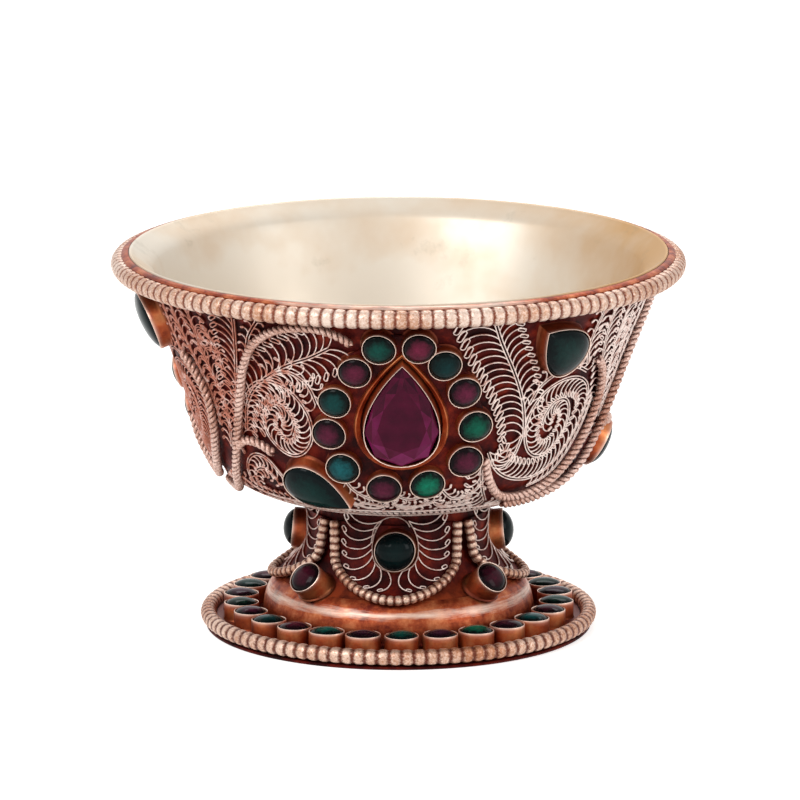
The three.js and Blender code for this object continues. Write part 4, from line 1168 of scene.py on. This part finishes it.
FACETS = 10
for number, turn in THIRDS:
    bench = Bench(wall_face, math.radians(MEDALLION_AZIMUTH + turn), TEARDROP_ARC)
    top = bezel_top(bench, teardrop, PLATE_OVER, TEARDROP_HEIGHT)
    piece = bezel(f"teardrop_bezel_cut_{number}", bench, teardrop, PLATE_OVER, top)
    settle(piece, "bright_copper", f"teardrop_bezel_{number}")

    seat = bench_seat(bench, PLATE_OVER)
    collar = []
    for inset, over_ground in (
        (-COLLAR_OUT - 0.35, -0.1), (-COLLAR_OUT - 0.25, 0.5), (-COLLAR_OUT - 0.1, COLLAR_HEIGHT - 0.1),
        (-COLLAR_OUT + 0.1, COLLAR_HEIGHT), (-COLLAR_OUT + 0.3, COLLAR_HEIGHT - 0.15),
        (-0.5, 0.45), (-0.5, -0.1),
    ):
        collar.append([seat(x, y, None, over_ground) for x, y in teardrop(inset)])
    piece = mesh_piece(f"teardrop_collar_{number}", *lofted(collar), rubbed_copper)
    settle(piece, "bright_copper", f"teardrop_bezel_{number}")

    rows = []
    for share, height, shift in (
        (1, top - STONE_DEPTH, 0), (1, top - 0.25, 0),
        (0.86, top + 0.45, 0.5), (0.66, top + TEARDROP_TABLE_RISE, 0),
    ):
        girdle = teardrop(STONE_INSET, FACETS, shift)
        rows.append([bench.at(x * share, y * share, height) for x, y in girdle])
    vertices = [point for row in rows for point in row]
    faces = [tuple(reversed(range(FACETS)))]
    for step in range(FACETS):
        nxt = (step + 1) % FACETS
        base, girdle, crown_row, table = (row * FACETS for row in range(4))
        faces.append((base + step, base + nxt, girdle + nxt, girdle + step))
        faces.append((girdle + step, girdle + nxt, crown_row + step))
        faces.append((girdle + nxt, crown_row + nxt, crown_row + step))
        faces.append((crown_row + step, table + nxt, table + step))
        faces.append((crown_row + step, crown_row + nxt, table + nxt))
    faces.append(tuple(3 * FACETS + step for step in range(FACETS)))
    tones = []
    for index, face in enumerate(faces):
        above = sum((vertices[corner] - bench.middle).dot(bench.up) for corner in face) / len(face)
        tones.append(TEARDROP_TONE - TEARDROP_FADE * above + TEARDROP_SPARKLE * math.sin(2.3 * index))
    gem = mesh_piece(f"teardrop_cut_{number}", vertices, faces, cut_glass, sharp_angle=1)
    gem.data.attributes.new("tone", "FLOAT", "FACE").data.foreach_set("value", tones)
    settle(gem, "red_stone", f"teardrop_stone_{number}")


# The pear stones
# Two green cabochons in each third of the wall, in deep bezels that lean with the vines.
# Degrees round and millimetres up the wall, width, length, height of the rim, rise of the dome and the
# direction of the point.
PEARS = {
    "upper_pear": (39.8, 64.3, 10, 12.6, 2.3, 1.4, 140),
    "lower_pear": (96.3, 36.8, 9.4, 13.2, 2.1, 1.7, -32),
}
PEAR_EDGE = "#0A1416"
PEAR_GREEN = "#143A36"
PEAR_TEAL = "#1B3C44"
GROUND_UNDER_BEZELS = -0.5


def domed_stone(name, bench, outline, top, dome, material):
    """A domed stone inside a bezel."""
    seat = bench_seat(bench, 0)
    rings, middles = dome_rings(outline(STONE_INSET), seat, top, dome)
    root, crown = bench.at(0, 0, top - STONE_DEPTH), bench.at(0, 0, top + dome)
    piece = mesh_piece(name, *lofted(rings, root, crown), material)
    labelled(piece.data, "middle", middles + [0, 1])
    return piece


def set_stone(names, bench, outline, lift, height, dome, material, slot):
    """A domed stone and its bezel, filed to ground at a lift, with the rim at a height over it."""
    kind, cup, number = names
    top = bezel_top(bench, outline, lift, height)
    piece = bezel(f"{kind}_{cup}_{number}", bench, outline, lift, top)
    settle(piece, "bright_copper", f"{kind}_bezel_{number}")
    piece = domed_stone(f"{kind}_dome_{number}", bench, outline, top, dome, material)
    settle(piece, slot, f"{kind}_stone_{number}")


# The same green glass in larger, darker stones that glow less.
deep_green_glass = stone_material("deep green glass cabochon", PEAR_EDGE, PEAR_GREEN, PEAR_TEAL, 0.8)

for pear, (azimuth, arc, width, length, height, dome, lean) in PEARS.items():
    for number, turn in THIRDS:
        bench = Bench(wall_face, math.radians(azimuth + turn), arc)

        def outline(inset):
            return pear_outline(width, length, math.radians(lean), inset)

        names = (pear, "bezel_cut", number)
        ground = GROUND_UNDER_BEZELS
        set_stone(names, bench, outline, ground, height, dome, deep_green_glass, "green_stone")


# The vines
# Thick cords of two wires twisted together and washed with silver, bent into loose scrolls over the
# wire-work and soldered down.
LOOP_VINE = [
    (24, 43), (26.5, 38.5), (32, 34.5), (41, 33.4), (50, 35.5), (57, 40), (61.5, 46), (62.5, 52),
    (59.5, 57), (56, 59.5),
]
MAIN_VINE = [
    (109.5, 66.9), (107, 68.5), (102.5, 69.8), (97, 69.8), (91, 68.4), (85, 65), (80.5, 60), (77, 54),
    (73.5, 48), (69.5, 42), (65, 37), (60, 33.4), (53, 31.2), (45, 30.4), (37, 30.8),
]
BRANCH_VINE = [(70.5, 43), (75, 44.8), (80, 44.6), (84, 43.2)]
VINE_LIFT = 0.65
STRAND_RADIUS = 0.44
STRAND_OFFSET = 0.4
TWIST_PITCH = 2.2
CORD_WASH = "#EAC9BC"
CORD_WARM = "#B07A64"
# Painted shade between the strands, over bare copper.
CORD_GROOVE_SHADE = "#4E1C11"

# The tree for a cord: strands that wind round the route, each a round wire. The depth between two strands
# is kept as an attribute for the cord's finish and the painted shade between the strands.
CORD_STEP = 0.22 * MM
STRAND_SIDES = 7
twisted_cord, given = new_tree(
    "twisted cord", Int=["Strands"], Float=["Strand Radius", "Strand Offset", "Pitch"]
)
tree = twisted_cord
raw = add(tree, "GeometryNodeMeshToCurve", [given["Geometry"]])
bent = add(tree, "GeometryNodeCurveSplineType", {"Curve": raw}, spline_type="CATMULL_ROM")
fine = add(tree, "GeometryNodeResampleCurve", {"Curve": bent, "Length": CORD_STEP}, mode="LENGTH")
doubling = {"Geometry": fine, "Amount": given["Strands"]}
doubled = add(tree, "GeometryNodeDuplicateElements", doubling, domain="SPLINE")
along = add(tree, "GeometryNodeSplineParameter")
turns = add(tree, "ShaderNodeMath", [along.outputs["Length"], given["Pitch"]], operation="DIVIDE")
copy_number = doubled.outputs["Duplicate Index"]
copy_share = add(tree, "ShaderNodeMath", [copy_number, given["Strands"]], operation="DIVIDE")
strand_mark = {"Geometry": doubled, "Name": "strand", "Value": copy_share}
kept_share = add(tree, "GeometryNodeStoreNamedAttribute", strand_mark, domain="CURVE")
own_share = add(tree, "GeometryNodeInputNamedAttribute", {"Name": "strand"})
phase = add(tree, "ShaderNodeMath", [turns, own_share], operation="ADD")
angle = add(tree, "ShaderNodeMath", [phase, 2 * math.pi], operation="MULTIPLY")
tangent = add(tree, "GeometryNodeInputTangent")
normal = add(tree, "GeometryNodeInputNormal")
side = add(tree, "ShaderNodeVectorMath", [tangent, normal], operation="CROSS_PRODUCT")
shifts = []
for direction, wave in ((normal, "COSINE"), (side.outputs[0], "SINE")):
    share = add(tree, "ShaderNodeMath", [angle], operation=wave)
    reach = add(tree, "ShaderNodeMath", [share, given["Strand Offset"]], operation="MULTIPLY")
    shifts.append(add(tree, "ShaderNodeVectorMath", [direction, reach], operation="SCALE"))
shift = add(tree, "ShaderNodeVectorMath", [shifts[0], shifts[1]], operation="ADD")
place = add(tree, "GeometryNodeInputPosition")
centre_mark = {"Geometry": kept_share, "Name": "centre", "Value": place}
centred = add(tree, "GeometryNodeStoreNamedAttribute", centre_mark, data_type="FLOAT_VECTOR")
wound = add(tree, "GeometryNodeSetPosition", {"Geometry": centred, "Offset": shift})
wire = round_wire(tree, wound, STRAND_SIDES, given["Strand Radius"])
centre = add(tree, "GeometryNodeInputNamedAttribute", {"Name": "centre"}, data_type="FLOAT_VECTOR")
reach = add(tree, "ShaderNodeVectorMath", [centre, place], operation="DISTANCE")
widest = add(tree, "ShaderNodeMath", [given["Strand Radius"], given["Strand Offset"]], operation="ADD")
# The depth between strands, which sets the painted shade there.
depth = add(tree, "ShaderNodeMapRange", [reach, widest, given["Strand Radius"]])
marked = add(tree, "GeometryNodeStoreNamedAttribute", {"Geometry": wire, "Name": "groove", "Value": depth})
close_tree(tree, marked, given["Material"])

# The same wash on the cords, more handled: warmer, with dark lines between the strands, which are bare
# copper darkened further as painted shade.
washed_cord = washed_material("silver-washed copper cord", CORD_WASH, CORD_WARM, CORD_GROOVE_SHADE)

cord_sizes = {
    "Strands": 2,
    "Strand Radius": STRAND_RADIUS * MM,
    "Strand Offset": STRAND_OFFSET * MM,
    "Pitch": TWIST_PITCH * MM,
    "Material": washed_cord,
}
for number, turn in THIRDS:
    for vine, routes in (("loop_vine", [LOOP_VINE]), ("main_vine", [MAIN_VINE, BRANCH_VINE])):
        laid = []
        for route in routes:
            turned = [(math.radians(azimuth + turn), arc) for azimuth, arc in route]
            laid.append([wall_face.on(azimuth, arc, VINE_LIFT) for azimuth, arc in turned])
        cord = grown(f"{vine}_cord_{number}", paths(laid), twisted_cord, cord_sizes)
        settle(cord, "washed_wire", f"{vine}_{number}")


# The stem
# A waisted drum of dark copper sheet between the bowl and the foot, nearly hidden by its petals.
STEM_FOOT = (22.6, 8.2)
STEM_PULL = (17.2, 10.9)
STEM_WAIST = (15.6, 17)
STEM_TOP_RADIUS = 15.4
STEM_THICKNESS = 0.9
HANDLED_BELOW = 12
STEM_LAP = 1.6
STEM_TURNS = 96
STEM_STEPS = 24
stem_high = node_size("stem_drum")[2]


def bend_points(start, pull, end, count):
    """Points of a curve between two ends, pulled towards a third point."""
    t = np.linspace(0, 1, count + 1)[:, None]
    a, b, c = (np.array(p, float) for p in (start, pull, end))
    return (1 - t) ** 2 * a + 2 * (1 - t) * t * b + t**2 * c


def straight(start, end, count):
    """Evenly spaced points of a line."""
    return np.linspace(start, end, count + 1)


stem_face = SpunFace(
    bend_points(STEM_FOOT, STEM_PULL, STEM_WAIST, 60),
    straight(STEM_WAIST, (STEM_TOP_RADIUS, stem_high), 20),
)
stem_arcs = np.linspace(STEM_LAP - 0.4, stem_face.length, STEM_STEPS)
stem_outline = [stem_face.at(arc) for arc in stem_arcs]
stem_outline += [stem_face.at(arc, -STEM_THICKNESS) for arc in stem_arcs[::-1]]
stem = spun_piece("stem_drum_spun", stem_outline, dark_copper, turns=STEM_TURNS)
heights = np.array([vertex.co.z for vertex in stem.data.vertices]) / MM
labelled(stem.data, "handled", np.clip((HANDLED_BELOW - heights) / (HANDLED_BELOW - STEM_FOOT[1]), 0, 1))
settle(stem, "dark_copper", "stem_drum")


# The petals
# Four tongues of dark copper sheet round the stem, edged with thick beaded wire and filled with curled
# wires that fan out from a stone in the middle.
PETALS = 4
PETAL_TURN = math.radians(-2)
PETAL_HALF_WIDTH = 10.1
PETAL_TOP = 21.6
PETAL_SHOULDER = 14.8
PETAL_TIP = 8.5
PETAL_GAP = 0.3
PETAL_THICKNESS = 0.5
PETAL_WIRE_RADIUS = 0.9
PETAL_BEAD_PITCH = 1.35
PETAL_GROOVES = (0.15, 3.0)
PETAL_COLUMNS = 20
PETAL_SIDE_ROWS = 6
EDGE_STEPS = 32
PETAL_STONE_RADIUS = 3.65
PETAL_STONE_ABOVE = 1.7
PETAL_STONE_DOME = 1.7
PETAL_STONE_HEIGHT = 17.2
WORN_WASH = "#EACAB6"
WORN_WARM = "#B27450"
WORN_GROOVE = "#642C19"
BLACK_GREEN = "#0E2626"
BLACK_BLUE = "#122636"
RIB_SPINE = [(-2.4, 5.3), (-3.4, 3.6), (-4.0, 1.6), (-4.1, -0.4), (-3.7, -2.1), (-2.7, -3.5), (-1.2, -4.3)]
RIB_LENGTHS = (8.2, 5.2)
RIB_SPREAD = math.radians(28)
RIB_BEND = math.radians(105)
RIB_EYE = (0.1, 0.06)
ARCH = [(-4.3, 1.2), (-3.6, 4.2), (-1.6, 5.8), (0.4, 6.0), (2.0, 5.2), (2.6, 4.2)]
PETAL_UNROLLED_RADIUS = 16.6
PETAL_WIRES = {"Spacing": 1.35, "Stem Gap": 0.0, "Low Lift": 0.85, "High Lift": 1.05}

petal_top_arc = stem_face.arc_at_height(PETAL_TOP)
# The beads of the petals and the foot, which are handled most: the wash is thin and the copper warm.
worn_bead = washed_material("worn silver-washed beads", WORN_WASH, WORN_WARM, WORN_GROOVE)

# Glass so dark that its green shows only in its middle.
black_glass = stone_material("black green glass cabochon", PEAR_EDGE, BLACK_GREEN, BLACK_BLUE, 0.8)

petal_stone_arc = stem_face.arc_at_height(PETAL_STONE_HEIGHT)
rib_curl = paths([curl_line(RIB_SPREAD, RIB_BEND, *RIB_EYE)])
stem_line = paths([[(r, 0, z) for r, z in stem_face.points]])


def petal_azimuth(across, arc):
    """How far round the stem a point of a petal is from the petal's middle line."""
    return math.asin(across / stem_face.at(arc)[0])


def petal_stone(inset):
    """The outline of a petal's stone, inset."""
    return hammered(PETAL_STONE_RADIUS, 36, inset, 0.4)


petal_edge = [(-PETAL_HALF_WIDTH, petal_top_arc)]
for step in range(EDGE_STEPS + 1):
    angle = math.pi * step / EDGE_STEPS
    height = PETAL_SHOULDER - (PETAL_SHOULDER - PETAL_TIP) * math.sin(angle)
    petal_edge.append((-PETAL_HALF_WIDTH * math.cos(angle), stem_face.arc_at_height(height)))
petal_edge.append((PETAL_HALF_WIDTH, petal_top_arc))

for index in range(PETALS):
    number = index + 1
    middle = PETAL_TURN + 2 * math.pi * index / PETALS
    side = np.linspace(petal_top_arc, petal_edge[1][1], PETAL_SIDE_ROWS, endpoint=False)
    left = [(-PETAL_HALF_WIDTH, arc) for arc in side] + petal_edge[1 : EDGE_STEPS // 2 + 1]
    sheets = []
    for lift in (PETAL_GAP, PETAL_GAP + PETAL_THICKNESS):
        grid = []
        for across, arc in left:
            for column in range(PETAL_COLUMNS + 1):
                azimuth = petal_azimuth(across * (1 - 2 * column / PETAL_COLUMNS), arc)
                grid.append(stem_face.on(middle + azimuth, arc, lift))
        sheets.append(grid)
    wide, each = PETAL_COLUMNS + 1, len(sheets[0])
    faces = []
    for row in range(len(left) - 1):
        for column in range(PETAL_COLUMNS):
            corner = row * wide + column
            quad = (corner, corner + wide, corner + 1 + wide, corner + 1)
            faces.append(tuple(each + i for i in quad))
            faces.append(tuple(reversed(quad)))
    last = (len(left) - 1) * wide
    border = [row * wide for row in range(len(left))] + [last + column for column in range(1, wide)]
    border += [row * wide + PETAL_COLUMNS for row in range(len(left) - 2, -1, -1)]
    border += list(range(PETAL_COLUMNS - 1, 0, -1))
    for near, far in zip(border, border[1:] + border[:1]):
        faces.append((near, far, each + far, each + near))
    plate = mesh_piece(f"petal_plate_{number}", sheets[0] + sheets[1], faces, dark_copper)
    settle(plate, "dark_copper", f"petal_{number}")

    laid = []
    for across, arc in petal_edge:
        azimuth = middle + petal_azimuth(across, arc)
        laid.append(stem_face.on(azimuth, arc, PETAL_GAP + PETAL_WIRE_RADIUS))
    length = sum((b - a).length for a, b in zip(laid, laid[1:]))
    beads = round(length / PETAL_BEAD_PITCH)
    name, source = f"petal_border_{number}", paths([laid])
    border_wire = rolled_wire(name, source, beads, PETAL_WIRE_RADIUS, PETAL_GROOVES, worn_bead)
    settle(border_wire, "washed_wire", f"petal_{number}")

    across = middle * PETAL_UNROLLED_RADIUS
    routes = [
        [(across + x, petal_stone_arc + y, 0) for x, y in RIB_SPINE],
        [(across - x, petal_stone_arc + y, 0) for x, y in RIB_SPINE],
        [(across + x, petal_stone_arc + y, 0) for x, y in ARCH],
    ]
    name, source = f"petal_ribs_{number}", paths(routes, curls=[(0, RIB_LENGTHS), (RIB_LENGTHS, 0), (0, 0)])
    ribs = wire_work(name, source, rib_curl, stem_line, PETAL_UNROLLED_RADIUS, PETAL_WIRES)
    settle(ribs, "washed_wire", f"petal_{number}")

    bench = Bench(stem_face, middle, petal_stone_arc)
    names = ("petal", "bezel_round", number)
    ground = PETAL_GAP + PETAL_THICKNESS
    rise, dome = PETAL_STONE_ABOVE, PETAL_STONE_DOME
    set_stone(names, bench, petal_stone, ground, rise, dome, black_glass, "green_stone")
bpy.data.objects.remove(rib_curl)
bpy.data.objects.remove(stem_line)


# The shoulder stones
# Four red stones in tall copper cups that lean back between the petals, on the flare of the stem.
SHOULDER_RADIUS = 3.1
SHOULDER_HEIGHT = 3.2
SHOULDER_DOME = 0.8
SHOULDER_ELEVATION = math.radians(40)
SHOULDER_CENTRE = 9.7


def shoulder_stone(inset):
    """The outline of a shoulder stone, inset."""
    return hammered(SHOULDER_RADIUS, 32, inset, 1.1)


shoulder_arc = stem_face.arc_at_height(SHOULDER_CENTRE)
out_way = [np.interp(shoulder_arc, stem_face.lengths, stem_face.normals[:, i]) for i in (0, 1)]
lean_back = SHOULDER_ELEVATION - math.atan2(out_way[1], out_way[0])
for index in range(PETALS):
    number = index + 1
    bench = Bench(stem_face, 2 * math.pi * (index + 0.5) / PETALS, shoulder_arc, lean_back)
    names = ("shoulder", "cup", number)
    rise, dome = SHOULDER_HEIGHT, SHOULDER_DOME
    set_stone(names, bench, shoulder_stone, PETAL_GAP, rise, dome, red_glass, "red_stone")


# The foot
# A dish of copper sheet spun with a dome in its middle and a painted highlight on its shoulder, with a ring
# of set stones, a beaded wire round its edge and a flat plate of dark copper under it.
DOME_HOLE = 9
DOME_TOP = 7.1
DOME_SHOULDER = (23.6, 5.2)
DOME_FOOT = 24.4
DISH_FLOOR = 1.7
DISH_THICKNESS = 0.9
FOOT_CUPS = 26
FOOT_CUP_RING = 28.3
FOOT_CUP_LEVEL = 2.0
FOOT_RING_TURN = math.radians(1.2)
FOOT_CUP_RADIUS = 3.2
FOOT_CUP_HEIGHT = 2.9
FOOT_CUP_DOME = 0.7
FOOT_SEED = 5
# The dish's painted light at each height: painted shade on its floor and a painted highlight on
# its shoulder.
DISH_PAINTED_LIGHT_HEIGHTS = [1.7, 3, 4.8, 6, 7, 8, 8.8]
DISH_PAINTED_LIGHT = [-0.9, -0.7, -0.2, 0.45, 0.75, 0.4, 0]
FOOT_BEADS = 101
FOOT_BEAD_RADIUS = 1.4
FOOT_GROOVES = (0.12, 3.6)

bead_across, bead_low, bead_high = node_size("foot_bead_wire")
foot_bead_centre = bead_across / 2 - FOOT_BEAD_RADIUS
dish_edge = foot_bead_centre - FOOT_BEAD_RADIUS - 0.1
dome_root = (DOME_FOOT - 0.1, DISH_FLOOR + 0.7)
dish_lap = stem_face.at(STEM_LAP, 0.12)
dish_over = [
    *straight((dish_edge, DISH_FLOOR), (DOME_FOOT + 0.9, DISH_FLOOR), 3),
    *bend_points((DOME_FOOT + 0.6, DISH_FLOOR), (DOME_FOOT, DISH_FLOOR), dome_root, 4),
    *bend_points((DOME_FOOT - 0.25, 3.4), (DOME_FOOT - 0.4, STEM_FOOT[1] - 0.7), dish_lap, 16),
    *straight((dish_lap[0] - 0.7, DOME_TOP + 0.3), (DOME_HOLE, DOME_TOP), 3),
]
t = DISH_THICKNESS
dish_under = [
    (DOME_HOLE, DOME_TOP - t), (dish_lap[0] - 0.7, DOME_TOP - t),
    (DOME_SHOULDER[0] - t, DOME_SHOULDER[1] - 0.2), (DOME_FOOT - t, DISH_FLOOR - t + 0.3),
    (DOME_FOOT, DISH_FLOOR - t), (dish_edge, DISH_FLOOR - t),
]
dish = spun_piece("foot_dish_spun", [tuple(p) for p in dish_over] + dish_under, turned_copper)
heights = np.array([vertex.co.z for vertex in dish.data.vertices]) / MM
# Painted shade on the dish's floor and a painted highlight on its shoulder.
labelled(dish.data, "edge", np.interp(heights, DISH_PAINTED_LIGHT_HEIGHTS, DISH_PAINTED_LIGHT))
settle(dish, "bright_copper", "foot_dish")

# Red and green stones take turns, and their glow and coolness wander round the ring.
foot_stands = {False: [], True: []}
for step in range(FOOT_CUPS):
    azimuth = FOOT_RING_TURN + 2 * math.pi * step / FOOT_CUPS
    place = Vector((FOOT_CUP_RING * math.sin(azimuth), -FOOT_CUP_RING * math.cos(azimuth), FOOT_CUP_LEVEL))
    glow, cool = 0.28 + 0.26 * math.sin(3.7 * step), 0.5 + 0.5 * math.sin(2.1 * step)
    foot_stands[step % 2 == 0].append((place, (0, 0, azimuth), glow, cool))
cup_form = cup_template(FOOT_CUP_RADIUS, FOOT_CUP_HEIGHT)
red_form = stone_template(FOOT_CUP_RADIUS, FOOT_CUP_HEIGHT, FOOT_CUP_DOME, red_glass)
green_form = stone_template(FOOT_CUP_RADIUS, FOOT_CUP_HEIGHT, FOOT_CUP_DOME, green_glass)
all_stands = foot_stands[False] + foot_stands[True]
for name, form, chosen, material, slot in (
    ("foot_cups", cup_form, all_stands, rubbed_copper, "bright_copper"),
    ("foot_stones_red", red_form, foot_stands[False], red_glass, "red_stone"),
    ("foot_stones_green", green_form, foot_stands[True], green_glass, "green_stone"),
):
    settle(settings(name, form, chosen, material, FOOT_SEED), slot, "foot_setting_ring")
for form in (cup_form, red_form, green_form):
    bpy.data.objects.remove(form)

foot_route = paths([circle(foot_bead_centre, (bead_low + bead_high) / 2)], closed=True)
foot_bead = rolled_wire("foot_beads", foot_route, FOOT_BEADS, FOOT_BEAD_RADIUS, FOOT_GROOVES, worn_bead)
settle(foot_bead, "washed_wire", "foot_bead_wire")

plate_across, plate_low, plate_high = node_size("foot_plate")
plate_outline = [
    (0, plate_low), (plate_across / 2 - 0.15, plate_low), (plate_across / 2, plate_low + 0.15),
    (plate_across / 2, plate_high - 0.15), (plate_across / 2 - 0.15, plate_high), (0, plate_high),
]
plate = spun_piece("foot_plate_spun", plate_outline, dark_copper)
settle(plate, "dark_copper", "foot_plate")

bpy.data.objects.remove(wall_line)
